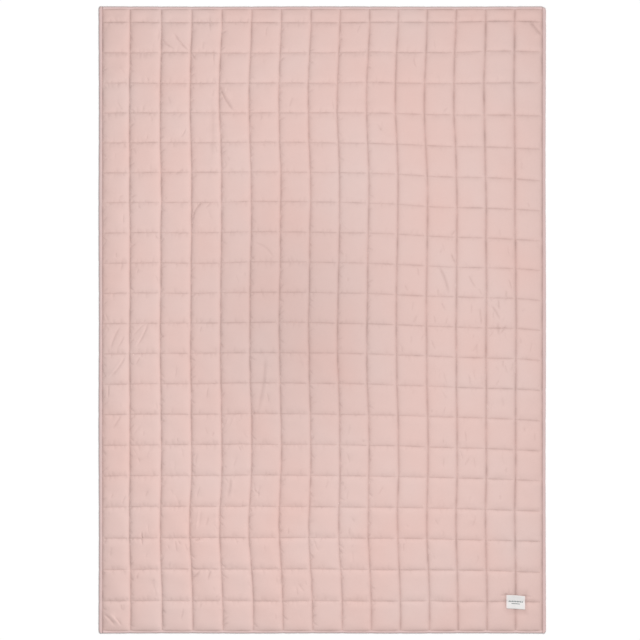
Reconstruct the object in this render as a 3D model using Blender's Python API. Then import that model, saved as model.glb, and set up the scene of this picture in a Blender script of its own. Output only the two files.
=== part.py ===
# A light quilted cotton throw, laid out flat: one filled panel sewn through in squares,
# four binding strips folded over its edge, and a small label sewn on near one corner.
# Metres, +Z up. X runs across the width, +Y towards the head end, and it lies on z = 0.

import math
from collections import namedtuple

import bmesh
import bpy
from mathutils import Vector
from mathutils.bvhtree import BVHTree

# Whole blanket, over the binding
WIDTH = 1.270
LENGTH = 1.780

# Quilting lines: 15 squares across and 21 along, the row at the head a narrow one
COLUMNS = 15
ROWS = 21
COLUMN_PITCH = 0.0842
COLUMN_EASE = 0.0068
COLUMN_EASE_SKEW = 0.62
ROW_PITCH = 0.0865
ROW_EASE = 0.0070
ROW_EASE_SKEW = 1.9
HEAD_SEAM = 0.8465

# Heights of the filled panel
SEAM_LIFT = 0.0022
SEAM_THICK = 0.0022
CROWN = 0.0040
CROWN_SPREAD = 0.05
CROWN_WAVES = ((2.3, 1.1), (-0.9, 1.7))
NARROW_ROW_CROWN = 0.8
RISE_INSET = 0.007
RISE_SHARE = 0.64
PLATEAU_INSET = 0.021
FOOT_INSET = 0.010
MOST_INSET_SHARE = 0.34

# Binding: a folded strip, C-shaped in section, open towards the panel
STRIP_CLOTH = 0.0010
STRIP_GAP = 0.0003
EDGE_THICK = 0.0020
STRIP_HEIGHT = EDGE_THICK + 2 * (STRIP_CLOTH + STRIP_GAP)
SIDE_STRIP = 0.0098
END_STRIP = 0.0082
STRIP_DITCH = 0.0004
EDGE_FIT = 0.00035
SCALLOP = 0.0005
ROLL_STEPS = 6
CORNER_PULL = 0.0028
END_BLOCK = 0.0013
# Rounding of a strip's tucked-in end: (distance from the end, share of the corner's pull)
CORNER_BENDS = ((0.0, 1.0), (END_BLOCK, 0.42), (0.0045, 0.0))

# Label, sewn over a crossing of two seams
LABEL_PLACE = (0.5505, -0.8017)
LABEL_WIDTH = 0.0535
LABEL_DEPTH = 0.0380
LABEL_FALL = math.radians(3.8)
LABEL_CLOTH = 0.0010
LABEL_GAP = 0.0003
LABEL_STEPS = (14, 10)

# Colours (linear), roughness, and the angle up to which faces are shaded as one
QUILT_PINK = (0.738, 0.533, 0.491)
BINDING_PINK = (0.716, 0.509, 0.470)
LABEL_CREAM = (0.815, 0.753, 0.745)
COTTON_ROUGHNESS = 0.92
LABEL_ROUGHNESS = 0.75
SOFT_ANGLE = math.radians(50)

# The cross seams hang towards the foot on the right-hand side: the full sag, where along the
# length it starts, is full and has faded out, and how it bends across the width
SAG = 0.0307
SAG_START = 0.70
SAG_FULL = 0.42
SAG_FADE = 1.25
SAG_FADE_POWER = 2.7
SAG_LEVEL = -0.26
SAG_TURN = -0.30
SAG_BEND_LEFT = 0.30
SAG_BEND_RIGHT = 0.54

# How far the upright seams wander to the right in the middle of the width
Wander = namedtuple("Wander", "along aside")
WANDER = (
    Wander(0.870, 0.0034),
    Wander(0.630, -0.0056),
    Wander(0.370, 0.0014),
    Wander(-0.055, -0.0028),
    Wander(-0.400, 0.0030),
    Wander(-0.575, -0.0011),
    Wander(-0.840, 0.0080),
)

Side = namedtuple("Side", "turn run reach strip waves depth")
SIDES = {
    "left": Side(0, LENGTH, WIDTH / 2, SIDE_STRIP, 3, 0.0010),
    "right": Side(180, LENGTH, WIDTH / 2, SIDE_STRIP, 2, 0.0012),
    "head": Side(-90, WIDTH, LENGTH / 2, END_STRIP, 2, 0.0012),
    "foot": Side(90, WIDTH, LENGTH / 2, END_STRIP, 3, 0.0009),
}

DITCH_X = WIDTH / 2 - SIDE_STRIP - STRIP_DITCH
DITCH_Y = LENGTH / 2 - END_STRIP - STRIP_DITCH


def smooth(t):
    t = min(max(t, 0.0), 1.0)
    return t * t * (3 - 2 * t)


def upright_seams():
    """Places of the upright seams across the width, with the two edges of the quilting."""
    count = COLUMNS - 1
    places = [-DITCH_X]
    for k in range(count):
        ease = COLUMN_EASE * math.sin(math.pi * (k / (count - 1)) ** COLUMN_EASE_SKEW)
        places.append((k - (count - 1) / 2) * COLUMN_PITCH + ease)
    return places + [DITCH_X]


def cross_seams():
    """Places of the cross seams from the head to the foot, with the two edges."""
    count = ROWS - 1
    places = [DITCH_Y]
    for k in range(count):
        ease = ROW_EASE * math.sin(math.pi * (k / (count - 1)) ** ROW_EASE_SKEW)
        places.append(HEAD_SEAM - k * ROW_PITCH + ease)
    return places + [-DITCH_Y]


def sag(x, y):
    """How far a cross seam is shifted along the length at this place."""
    start = smooth((SAG_START - y) / (SAG_START - SAG_FULL))
    fade = max(0.0, 1 - (max(0.0, SAG_FULL - y) / SAG_FADE) ** SAG_FADE_POWER)
    offset = x / (WIDTH / 2) - SAG_TURN
    bend = SAG_BEND_RIGHT if offset > 0 else SAG_BEND_LEFT
    return -SAG * start * fade * (SAG_LEVEL + bend * offset**2)


def wander(x, y):
    """How far an upright seam is shifted across the width, nothing at the side edges."""
    middle = 1 - min(1.0, abs(x) / DITCH_X) ** 2
    for upper, lower in zip(WANDER, WANDER[1:]):
        if y >= lower.along:
            share = smooth((upper.along - y) / (upper.along - lower.along))
            return middle * (upper.aside + share * (lower.aside - upper.aside))
    return middle * WANDER[-1].aside


def sewn(x, y):
    """Where a point of the straight layout ends up on the sewn and laid blanket."""
    return x + wander(x, y), y + sag(x, y)


def drawn_in(side, along):
    """How far an edge of the outline is drawn in, nothing at the corners."""
    return side.depth * math.sin(side.waves * math.pi * (along / side.run + 0.5)) ** 2


def crown(column, row):
    """Loft of one square. Two waves over the squares keep neighbours from being filled alike."""
    uneven = sum(math.sin(across * column + along * row) for across, along in CROWN_WAVES)
    height = CROWN * (1 + CROWN_SPREAD * uneven)
    return height * NARROW_ROW_CROWN if row == 0 else height


def ring_points(bm, square, inset, height):
    """Four points inside a square, an inset from each seam, at one height."""
    left, right, top, bottom = square
    dx = min(inset, MOST_INSET_SHARE * (right - left))
    dy = min(inset, MOST_INSET_SHARE * (top - bottom))
    low, high = bottom + dy, top - dy
    flat = ((left + dx, low), (right - dx, low), (right - dx, high), (left + dx, high))
    return [bm.verts.new((*sewn(x, y), height)) for x, y in flat]


def join_rings(bm, outer, inner):
    for k in range(4):
        following = (k + 1) % 4
        bm.faces.new((outer[k], outer[following], inner[following], inner[k]))


def edge_place(side_name, along, at_seam):
    """Distance of the panel's own edge from the middle of the blanket, inside the binding."""
    side = SIDES[side_name]
    inset = drawn_in(side, along) + STRIP_CLOTH + EDGE_FIT
    return side.reach - inset - (SCALLOP if at_seam else 0.0)


def panel_mesh():
    """The filled panel: crowned squares on top, flat-footed ones beneath, a thin flat rim."""
    bm = bmesh.new()
    xs = upright_seams()
    ys = cross_seams()
    edge_low = STRIP_CLOTH + STRIP_GAP
    levels = {
        "top": (SEAM_LIFT + SEAM_THICK, edge_low + EDGE_THICK),
        "under": (SEAM_LIFT, edge_low),
    }
    crossings = {}
    rims = {}
    for face, (seam_level, edge_level) in levels.items():
        for i, x in enumerate(xs):
            for j, y in enumerate(ys):
                on_edge = i in (0, COLUMNS) or j in (0, ROWS)
                height = edge_level if on_edge else seam_level
                crossings[face, i, j] = bm.verts.new((*sewn(x, y), height))
        rims[face] = rim_points(bm, xs, ys, edge_level)
    for column in range(COLUMNS):
        for row in range(ROWS):
            square = (xs[column], xs[column + 1], ys[row], ys[row + 1])
            corners = ((column, row + 1), (column + 1, row + 1), (column + 1, row), (column, row))
            height = crown(column, row)
            base = SEAM_LIFT + SEAM_THICK
            outer = [crossings["top", i, j] for i, j in corners]
            rise = ring_points(bm, square, RISE_INSET, base + RISE_SHARE * height)
            plateau = ring_points(bm, square, PLATEAU_INSET, base + height)
            join_rings(bm, outer, rise)
            join_rings(bm, rise, plateau)
            bm.faces.new(plateau)
            outer = [crossings["under", i, j] for i, j in corners]
            foot = ring_points(bm, square, FOOT_INSET, 0.0)
            join_rings(bm, outer, foot)
            bm.faces.new(foot)
    loop = rim_loop()
    for face in levels:
        for here, following in zip(loop, loop[1:] + loop[:1]):
            add_rim_faces(bm, crossings, rims, face, here, following)
    for here, following in zip(loop, loop[1:] + loop[:1]):
        upper = (rims["top"][here], rims["top"][following])
        bm.faces.new((*upper, rims["under"][following], rims["under"][here]))
    bmesh.ops.recalc_face_normals(bm, faces=bm.faces)
    return bm


def rim_loop():
    """Grid places round the quilting, once round; a corner stands three times."""
    loop = []
    for i in range(COLUMNS + 1):
        loop.append((i, 0, "head"))
    loop.append((COLUMNS, 0, "corner"))
    for j in range(ROWS + 1):
        loop.append((COLUMNS, j, "right"))
    loop.append((COLUMNS, ROWS, "corner"))
    for i in reversed(range(COLUMNS + 1)):
        loop.append((i, ROWS, "foot"))
    loop.append((0, ROWS, "corner"))
    for j in reversed(range(ROWS + 1)):
        loop.append((0, j, "left"))
    loop.append((0, 0, "corner"))
    return loop


def rim_points(bm, xs, ys, height):
    """Points on the panel's own edge, one opposite each seam, with its corners cut off."""
    points = {}
    for i, j, kind in rim_loop():
        x, y = sewn(xs[i], ys[j])
        at_seam = i not in (0, COLUMNS) or j not in (0, ROWS)
        if kind == "corner":
            x = math.copysign(SIDES["left"].reach - STRIP_CLOTH - EDGE_FIT - CORNER_PULL, x)
            y = math.copysign(SIDES["head"].reach - STRIP_CLOTH - EDGE_FIT - CORNER_PULL, y)
        elif kind in ("left", "right"):
            x = math.copysign(edge_place(kind, y, at_seam), x)
        else:
            y = math.copysign(edge_place(kind, x, at_seam), y)
        points[i, j, kind] = bm.verts.new((x, y, height))
    return points


def add_rim_faces(bm, crossings, rims, face, here, following):
    inner = [crossings[(face, *here[:2])]]
    if following[:2] != here[:2]:
        inner.append(crossings[(face, *following[:2])])
    bm.faces.new((*inner, rims[face][following], rims[face][here]))


def strip_section(pull, strip):
    """Outer side of the folded strip, from under the panel round to above it: (inward, up)."""
    bulge = STRIP_HEIGHT / 2
    points = [(strip, 0.0)]
    for k in range(ROLL_STEPS + 1):
        angle = math.pi * k / ROLL_STEPS
        points.append((bulge * (1 - math.sin(angle)), bulge * (1 - math.cos(angle))))
    points.append((strip, STRIP_HEIGHT))
    return [(pull + inward * (strip - pull) / strip, up) for inward, up in points]


def slot_section(pull, strip):
    """The slot that the panel's edge lies in, from its upper lip to its lower lip."""
    back = pull + STRIP_CLOTH
    upper = STRIP_HEIGHT - STRIP_CLOTH
    return [(strip, upper), (back, upper), (back, STRIP_CLOTH), (strip, STRIP_CLOTH)]


def strip_mesh(side, stations, closed_ends):
    """One folded strip along +Y. Stations are (along, pull); closed ends are tucked in."""
    bm = bmesh.new()
    outer = []
    slots = []
    for number, (along, pull) in enumerate(stations):
        outer.append([bm.verts.new((u, along, z)) for u, z in strip_section(pull, side.strip)])
        slots.append(None)
        if not closed_ends or 0 < number < len(stations) - 1:
            section = slot_section(pull, side.strip)
            slots[-1] = [bm.verts.new((u, along, z)) for u, z in section]
    for a, b, slot_a, slot_b in zip(outer, outer[1:], slots, slots[1:]):
        for k in range(len(a) - 1):
            bm.faces.new((a[k], a[k + 1], b[k + 1], b[k]))
        if slot_a and slot_b:
            for k in range(3):
                bm.faces.new((slot_a[k], slot_a[k + 1], slot_b[k + 1], slot_b[k]))
            bm.faces.new((a[-1], slot_a[0], slot_b[0], b[-1]))
            bm.faces.new((slot_a[3], a[0], b[0], slot_b[3]))
        elif slot_b:
            bm.faces.new((a[0], a[-1], b[-1], slot_b[0], slot_b[3], b[0]))
            bm.faces.new(slot_b)
        else:
            bm.faces.new((b[0], b[-1], a[-1], slot_a[0], slot_a[3], a[0]))
            bm.faces.new(slot_a)
    for end, slot in ((outer[0], slots[0]), (outer[-1], slots[-1])):
        bm.faces.new(end + slot if slot else end)
    bmesh.ops.recalc_face_normals(bm, faces=bm.faces)
    return bm


def seam_stations(name):
    """Where the seams meet one edge, along that edge in its strip's own direction."""
    if name in ("left", "right"):
        x = math.copysign(DITCH_X, -1 if name == "left" else 1)
        places = [sewn(x, y)[1] for y in cross_seams()[1:-1]]
    else:
        y = math.copysign(DITCH_Y, 1 if name == "head" else -1)
        places = [sewn(x, y)[0] for x in upright_seams()[1:-1]]
    forward = 1 if name in ("left", "head") else -1
    return sorted(forward * place for place in places), forward


def strip_stations(name):
    """(along, pull) down one strip, pulled in at each seam and rounded at closed ends."""
    side = SIDES[name]
    closed = name in ("left", "right")
    half = side.run / 2 if closed else side.run / 2 - SIDE_STRIP - STRIP_GAP
    seams, forward = seam_stations(name)
    places = [(-half, True), *((seam, False) for seam in seams), (half, True)]
    stations = []
    for (place, at_end), (following, _) in zip(places, places[1:]):
        middle = (place + following) / 2
        stations.append((place, drawn_in(side, forward * place) + (0.0 if at_end else SCALLOP)))
        stations.append((middle, drawn_in(side, forward * middle)))
    stations.append((half, drawn_in(side, forward * half)))
    if closed:
        head = [(-half + run, share * CORNER_PULL) for run, share in CORNER_BENDS]
        foot = [(half - run, share * CORNER_PULL) for run, share in reversed(CORNER_BENDS)]
        stations = head + stations[1:-1] + foot
    return stations, closed


def label_mesh(panel_tree):
    """The label lies over the dip of two crossing seams, always clear of the quilting below."""
    across, down = LABEL_STEPS
    step = (LABEL_WIDTH / across, LABEL_DEPTH / down)
    probes = [(a * step[0] / 2, b * step[1] / 2) for a in range(-2, 3) for b in range(-2, 3)]
    bm = bmesh.new()
    layers = {"under": {}, "top": {}}
    for i in range(across + 1):
        for j in range(down + 1):
            u = i * step[0] - LABEL_WIDTH / 2
            v = j * step[1] - LABEL_DEPTH / 2 - u * math.tan(LABEL_FALL)
            highest = 0.0
            for du, dv in probes:
                above = Vector((LABEL_PLACE[0] + u + du, LABEL_PLACE[1] + v + dv, LENGTH))
                below = panel_tree.ray_cast(above, Vector((0, 0, -1)))[0]
                highest = max(highest, below.z)
            layers["under"][i, j] = bm.verts.new((u, v, highest + LABEL_GAP))
            layers["top"][i, j] = bm.verts.new((u, v, highest + LABEL_GAP + LABEL_CLOTH))
    for layer in layers.values():
        for i in range(across):
            for j in range(down):
                bm.faces.new((layer[i, j], layer[i + 1, j], layer[i + 1, j + 1], layer[i, j + 1]))
    rim = [(i, 0) for i in range(across)] + [(across, j) for j in range(down)]
    rim += [(i, down) for i in range(across, 0, -1)] + [(0, j) for j in range(down, 0, -1)]
    for here, following in zip(rim, rim[1:] + rim[:1]):
        lower = (layers["under"][here], layers["under"][following])
        upper = (layers["top"][following], layers["top"][here])
        bm.faces.new((*lower, *upper))
    bmesh.ops.recalc_face_normals(bm, faces=bm.faces)
    return bm


def cloth_material(name, colour, roughness):
    material = bpy.data.materials.new(name)
    material.use_nodes = True
    shader = material.node_tree.nodes["Principled BSDF"]
    shader.inputs["Base Color"].default_value = (*colour, 1.0)
    shader.inputs["Roughness"].default_value = roughness
    shader.inputs["Metallic"].default_value = 0.0
    material.diffuse_color = (*colour, 1.0)
    return material


def add_piece(name, bm, material, parent):
    mesh = bpy.data.meshes.new(name)
    bm.to_mesh(mesh)
    bm.free()
    mesh.materials.append(material)
    mesh.shade_smooth()
    mesh.set_sharp_from_angle(angle=SOFT_ANGLE)
    piece = bpy.data.objects.new(name, mesh)
    piece.parent = parent
    bpy.context.scene.collection.objects.link(piece)
    return piece


def build_blanket():
    for old in list(bpy.data.objects):
        bpy.data.objects.remove(old, do_unlink=True)
    blanket = bpy.data.objects.new("throw_blanket", None)
    bpy.context.scene.collection.objects.link(blanket)

    quilt_cotton = cloth_material("quilted_cotton", QUILT_PINK, COTTON_ROUGHNESS)
    binding_cotton = cloth_material("binding_cotton", BINDING_PINK, COTTON_ROUGHNESS)
    label_weave = cloth_material("woven_label", LABEL_CREAM, LABEL_ROUGHNESS)

    panel = panel_mesh()
    panel_tree = BVHTree.FromBMesh(panel)
    add_piece("quilt_panel", panel, quilt_cotton, blanket)

    for name, side in SIDES.items():
        stations, closed = strip_stations(name)
        strip_body = strip_mesh(side, stations, closed)
        strip = add_piece(f"binding_{name}", strip_body, binding_cotton, blanket)
        turn = math.radians(side.turn)
        strip.rotation_euler.z = turn
        strip.location = (-side.reach * math.cos(turn), -side.reach * math.sin(turn), 0.0)

    label = add_piece("label", label_mesh(panel_tree), label_weave, blanket)
    label.location = (*LABEL_PLACE, 0.0)


build_blanket()
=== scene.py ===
import math

import bmesh
import bpy
import numpy as np
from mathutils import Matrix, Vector
from mathutils.bvhtree import BVHTree
from mathutils.geometry import delaunay_2d_cdt


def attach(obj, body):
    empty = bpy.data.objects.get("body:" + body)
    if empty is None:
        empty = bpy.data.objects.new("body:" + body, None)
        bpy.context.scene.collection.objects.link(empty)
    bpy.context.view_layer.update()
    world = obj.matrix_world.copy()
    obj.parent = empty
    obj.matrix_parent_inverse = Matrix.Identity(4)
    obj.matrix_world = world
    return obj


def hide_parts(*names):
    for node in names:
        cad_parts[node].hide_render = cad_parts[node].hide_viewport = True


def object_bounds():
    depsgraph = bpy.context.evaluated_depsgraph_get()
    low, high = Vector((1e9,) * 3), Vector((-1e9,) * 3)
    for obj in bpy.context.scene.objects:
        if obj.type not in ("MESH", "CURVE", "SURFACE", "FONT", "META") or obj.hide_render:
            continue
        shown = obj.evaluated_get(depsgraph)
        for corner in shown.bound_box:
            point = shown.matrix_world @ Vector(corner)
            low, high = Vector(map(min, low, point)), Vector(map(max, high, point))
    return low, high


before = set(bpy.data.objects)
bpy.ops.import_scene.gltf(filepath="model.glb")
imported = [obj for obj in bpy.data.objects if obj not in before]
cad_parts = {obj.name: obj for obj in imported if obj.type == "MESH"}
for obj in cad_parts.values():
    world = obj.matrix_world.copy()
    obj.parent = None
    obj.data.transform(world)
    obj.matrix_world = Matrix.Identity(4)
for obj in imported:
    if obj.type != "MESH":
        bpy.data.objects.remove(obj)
cadLow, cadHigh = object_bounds()
mm = 0.001
halfWidth = (cadHigh.x - cadLow.x) / 2
halfLength = (cadHigh.y - cadLow.y) / 2

# The sewn layout: 15 squares across and 21 along, and how their lines ease, sag and wander
layout = {
    "columns": 15,
    "rows": 21,
    "columnPitch": 84.2 * mm,
    "columnEase": 6.8 * mm,
    "columnEaseSkew": 0.62,
    "rowPitch": 86.5 * mm,
    "rowEase": 7.0 * mm,
    "rowEaseSkew": 1.9,
    "headSeam": 845.0 * mm,
    "sideStrip": 9.8 * mm,
    "endStrip": 8.2 * mm,
    "ditch": 0.4 * mm,
    "sag": 30.7 * mm,
    "sagStart": 0.70,
    "sagFull": 0.42,
    "sagFade": 1.25,
    "sagFadePower": 2.7,
    "sagLevel": -0.26,
    "sagTurn": -0.30,
    "sagBendLeft": 0.30,
    "sagBendRight": 0.54,
    "wanderAlong": np.array((-0.840, -0.575, -0.400, -0.055, 0.370, 0.630, 0.870)),
    "wanderAside": np.array((8.0, -1.1, 3.0, -2.8, 1.4, -5.6, 3.4)) * mm,
    # Where the cloth lies pulled aside: place, reach each way, and how far it moved each way
    "drifts": np.array((
        (-345, 150, 110, 400, 0.0, -2.8),
        (337, 330, 110, 280, 0.0, -4.0),
        (564, 0, 90, 250, 0.0, 3.0),
        (520, 770, 140, 110, 0.0, 5.0),
        (150, 720, 100, 100, 0.0, 3.5),
        (-100, 455, 500, 70, 0.0, -2.0),
        (600, -730, 90, 100, 0.0, -3.0),
        (-230, -600, 230, 120, -4.5, 0.0),
        (330, 690, 190, 230, -4.5, 0.0),
        (130, -50, 140, 350, -3.0, 0.0),
        (515, -20, 90, 240, 4.0, 0.0),
    )) * mm,
    "driftEdge": (40.0 * mm, 20.0 * mm),
    "kinkAside": 1.2 * mm,
    "kinkAlong": 0.9 * mm,
    "kinkSeed": 3,
}
ditchX = halfWidth - layout["sideStrip"] - layout["ditch"]
ditchY = halfLength - layout["endStrip"] - layout["ditch"]


def smooth(t):
    t = np.clip(t, 0.0, 1.0)
    return t * t * (3 - 2 * t)


def uprightSeams():
    last = layout["columns"] - 2
    k = np.arange(last + 1)
    ease = layout["columnEase"] * np.sin(math.pi * (k / last) ** layout["columnEaseSkew"])
    return np.concatenate([[-ditchX], (k - last / 2) * layout["columnPitch"] + ease, [ditchX]])


def crossSeams():
    # From the foot to the head
    last = layout["rows"] - 2
    k = np.arange(last + 1)
    ease = layout["rowEase"] * np.sin(math.pi * (k / last) ** layout["rowEaseSkew"])
    fromHead = layout["headSeam"] - k * layout["rowPitch"] + ease
    return np.concatenate([[-ditchY], fromHead[::-1], [ditchY]])


def sag(x, y):
    start = smooth((layout["sagStart"] - y) / (layout["sagStart"] - layout["sagFull"]))
    below = np.maximum(0.0, layout["sagFull"] - y) / layout["sagFade"]
    fade = np.maximum(0.0, 1 - below ** layout["sagFadePower"])
    offset = x / halfWidth - layout["sagTurn"]
    bend = np.where(offset > 0, layout["sagBendRight"], layout["sagBendLeft"])
    return -layout["sag"] * start * fade * (layout["sagLevel"] + bend * offset**2)


def wander(x, y):
    along, aside = layout["wanderAlong"], layout["wanderAside"]
    k = np.clip(np.searchsorted(along, y) - 1, 0, len(along) - 2)
    share = smooth((y - along[k]) / (along[k + 1] - along[k]))
    middle = 1 - np.minimum(1.0, np.abs(x) / ditchX) ** 2
    return middle * (aside[k] + share * (aside[k + 1] - aside[k]))


def kinks():
    # How far each crossing of the seams was sewn out of line
    shape = (2, layout["rows"] + 1, layout["columns"] + 1)
    grids = np.random.default_rng(layout["kinkSeed"]).uniform(-1, 1, shape)
    grids[:, [0, -1]] = 0.0
    grids[:, :, [0, -1]] = 0.0
    return grids[0] * layout["kinkAside"], grids[1] * layout["kinkAlong"]


def betweenCrossings(grid, x, y):
    column = np.interp(x, uprights, np.arange(len(uprights)))
    row = np.interp(y, crosses, np.arange(len(crosses)))
    left = np.minimum(column.astype(int), len(uprights) - 2)
    foot = np.minimum(row.astype(int), len(crosses) - 2)
    across, along = column - left, row - foot
    lower = grid[foot, left] * (1 - across) + grid[foot, left + 1] * across
    upper = grid[foot + 1, left] * (1 - across) + grid[foot + 1, left + 1] * across
    return lower * (1 - along) + upper * along


def drifted(x, y):
    aside, along = 0.0, 0.0
    for placeX, placeY, reachX, reachY, moveX, moveY in layout["drifts"]:
        share = np.exp(-(((x - placeX) / reachX) ** 2) - ((y - placeY) / reachY) ** 2)
        aside, along = aside + moveX * share, along + moveY * share
    edgeX, edgeY = layout["driftEdge"]
    aside = aside * np.clip((ditchX - np.abs(x)) / edgeX, 0.0, 1.0)
    return aside, along * np.clip((ditchY - np.abs(y)) / edgeY, 0.0, 1.0)


def sewn(x, y):
    # Where a point of the straight layout ends up on the laid blanket
    aside, along = drifted(x, y)
    aside = aside + wander(x, y) + betweenCrossings(kinkAside, x, y)
    return x + aside, y + along + sag(x, y) + betweenCrossings(kinkAlong, x, y)


def unsewn(laidX, laidY):
    x, y = laidX, laidY
    for _ in range(8):
        fromX, fromY = sewn(x, y)
        x, y = x + laidX - fromX, y + laidY - fromY
    return x, y


uprights = uprightSeams()
crosses = crossSeams()
kinkAside, kinkAlong = kinks()


# Heights of the filled panel, and how each square swells away from its seams
panel = {
    "seamTop": 2.7 * mm,
    "least": 2.3 * mm,
    "seamUnder": 1.3 * mm,
    "ditchTop": 2.5 * mm,
    "edgeTop": 3.3 * mm,
    "edgeUnder": 1.3 * mm,
    "edgeReach": 3.6 * mm,
    "outerReach": 1.7,
    "crown": 6.1 * mm,
    "crownSpread": 0.05,
    "crownWaves": ((2.3, 1.1), (-0.9, 1.7)),
    "narrowRowCrown": 0.8,
    "steepAcross": 5.2 * mm,
    "gentleAcross": 20.0 * mm,
    "steepShareAcross": 0.70,
    "steepAlong": 3.6 * mm,
    "gentleAlong": 14.0 * mm,
    "steepShareAlong": 0.60,
    "crossDip": 0.34,
    "crossGap": 0.55,
    "crossGapReach": 11.0 * mm,
    "unevenAcross": 0.42,
    "unevenAlong": 0.30,
    "unevenLengths": (71 * mm, 34 * mm, 19 * mm),
    "faceLines": (0.0, 1.5 * mm, 4.0 * mm, 8.0 * mm, 14.5 * mm, 24.0 * mm),
    "footLines": (0.0, 3.5 * mm, 10.0 * mm),
    "footReach": 10.0 * mm,
    "middleRoom": 2.5 * mm,
    "creaseRoom": 0.9 * mm,
    "creaseStep": 1.2 * mm,
    "creaseApart": 1.4 * mm,
    "edgeCloth": 1.0 * mm,
    "edgeFit": 0.35 * mm,
    "edgeCorner": 2.8 * mm,
    "seed": 5,
}


def squareLines(low, high, distances):
    # Grid lines of one square: close together near its seams, and one in the middle
    half = (high - low) / 2
    near = [d for d in distances if d < half - panel["middleRoom"]]
    return np.array([low + d for d in near] + [low + half] + [high - d for d in reversed(near)])


def rise(distance, steep, gentle, share):
    return 1 - share * np.exp(-distance / steep) - (1 - share) * np.exp(-distance / gentle)


def unevenReach(place, seam, side, phases):
    # How far a seam pulls the cloth down changes along it
    swing = sum(
        np.sin(2 * math.pi * place / length + phases[seam, side, k])
        for k, length in enumerate(panel["unevenLengths"])
    )
    return swing / len(panel["unevenLengths"])


def squareCrown(column, row):
    fromHead = layout["rows"] - 1 - row
    waves = sum(math.sin(a * column + b * fromHead) for a, b in panel["crownWaves"])
    height = panel["crown"] * (1 + panel["crownSpread"] * waves)
    return height * panel["narrowRowCrown"] if fromHead == 0 else height


def edgeShare(x, y):
    # 0 on the outline of the quilting, 1 well inside it
    inside = np.minimum(ditchX - np.abs(x), ditchY - np.abs(y))
    return 1 - np.exp(-np.maximum(inside, 0.0) / panel["edgeReach"])


def squareHeight(x, y, column, row, phases):
    left, right = x - uprights[column], uprights[column + 1] - x
    foot, head = y - crosses[row], crosses[row + 1] - y
    across = 1.0
    for distance, seam, side in ((left, column, 0), (right, column + 1, 1)):
        reach = 1 + panel["unevenAcross"] * unevenReach(y, seam, side, phases["upright"])
        if seam in (0, len(uprights) - 1):
            reach = reach * panel["outerReach"]
        steep, gentle = panel["steepAcross"] * reach, panel["gentleAcross"] * reach
        across = across * rise(distance, steep, gentle, panel["steepShareAcross"])
    along = 1.0
    for distance, seam, side in ((foot, row, 0), (head, row + 1, 1)):
        reach = 1 + panel["unevenAlong"] * unevenReach(x, seam, side, phases["cross"])
        if seam in (0, len(crosses) - 1):
            reach = reach * panel["outerReach"]
        steep, gentle = panel["steepAlong"] * reach, panel["gentleAlong"] * reach
        along = along * rise(distance, steep, gentle, panel["steepShareAlong"])
    seam = panel["ditchTop"] + (panel["seamTop"] - panel["ditchTop"]) * edgeShare(x, y)
    # The cross seams were sewn over filled channels, so they dip less and arch between uprights,
    # and least of all where the cloth swells up on the left of an upright seam
    gap = panel["crossGap"] * np.exp(-((right / panel["crossGapReach"]) ** 2))
    dip = panel["crossDip"] * (1 - gap * edgeShare(x, y)) * (1 - along)
    return seam + squareCrown(column, row) * across * (1 - dip)


# Cloth simulation of the face: pinned along its seams, a little too large, lightly inflated
settling = {
    "steps": 12,
    "quality": 4,
    "mass": 0.15,
    "air": 4,
    "frames": 16,
    "growth": 0.013,
    "bending": 40.0,
    "stretch": 20.0,
    "shear": 8.0,
    "hold": 0.25,
    "pressure": 3.0,
    "roughen": 0.15 * mm,
    "mostMove": 3.0 * mm,
    "smoothings": 3,
    "seed": 7,
}


def evenLines(places, steps):
    shares = np.arange(steps) / steps
    parts = [a + shares * (b - a) for a, b in zip(places, places[1:])]
    return np.concatenate(parts + [places[-1:]])


def quadsOf(number):
    # Faces of a grid of numbered points
    corners = [number[:-1, :-1], number[:-1, 1:], number[1:, 1:], number[1:, :-1]]
    return np.stack(corners, -1).reshape(-1, 4)


def settledCloth(phases):
    steps = settling["steps"]
    xs, ys = evenLines(uprights, steps), evenLines(crosses, steps)
    shape = (len(ys), len(xs), 3)
    x, y = np.meshgrid(xs, ys)
    height = np.zeros(x.shape)
    for column in range(layout["columns"]):
        for row in range(layout["rows"]):
            part = np.s_[row * steps:(row + 1) * steps + 1, column * steps:(column + 1) * steps + 1]
            height[part] = squareHeight(x[part], y[part], column, row, phases)
    onSeam = (np.arange(len(ys)) % steps == 0)[:, None] | (np.arange(len(xs)) % steps == 0)
    rng = np.random.default_rng(settling["seed"])
    height += np.where(onSeam, 0.0, rng.normal(0, settling["roughen"], x.shape))
    start = np.stack([*sewn(x, y), height], -1)
    number = np.arange(x.size).reshape(x.shape)
    mesh = bpy.data.meshes.new("settling")
    mesh.from_pydata(start.reshape(-1, 3).tolist(), [], quadsOf(number).tolist())
    cloth = bpy.data.objects.new("settling", mesh)
    bpy.context.scene.collection.objects.link(cloth)
    held = cloth.vertex_groups.new(name="sewn")
    held.add(np.flatnonzero(onSeam.ravel()).tolist(), 1.0, "REPLACE")
    held.add(np.flatnonzero(~onSeam.ravel()).tolist(), settling["hold"], "REPLACE")
    simulate(cloth)
    settled = cloth.evaluated_get(bpy.context.evaluated_depsgraph_get()).data
    flat = np.empty(x.size * 3, np.float32)
    settled.vertices.foreach_get("co", flat)
    moved = flat.reshape(shape).astype(float) - start
    bpy.data.objects.remove(cloth)
    moved = np.clip(moved, -settling["mostMove"], settling["mostMove"])
    for _ in range(settling["smoothings"]):
        moved[1:-1] = (moved[:-2] + 2 * moved[1:-1] + moved[2:]) / 4
        moved[:, 1:-1] = (moved[:, :-2] + 2 * moved[:, 1:-1] + moved[:, 2:]) / 4
        moved[onSeam] = 0.0
    print("settled the face, rms move in mm:", (1000 * np.sqrt((moved**2).mean((0, 1)))).round(2))
    return moved


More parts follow.
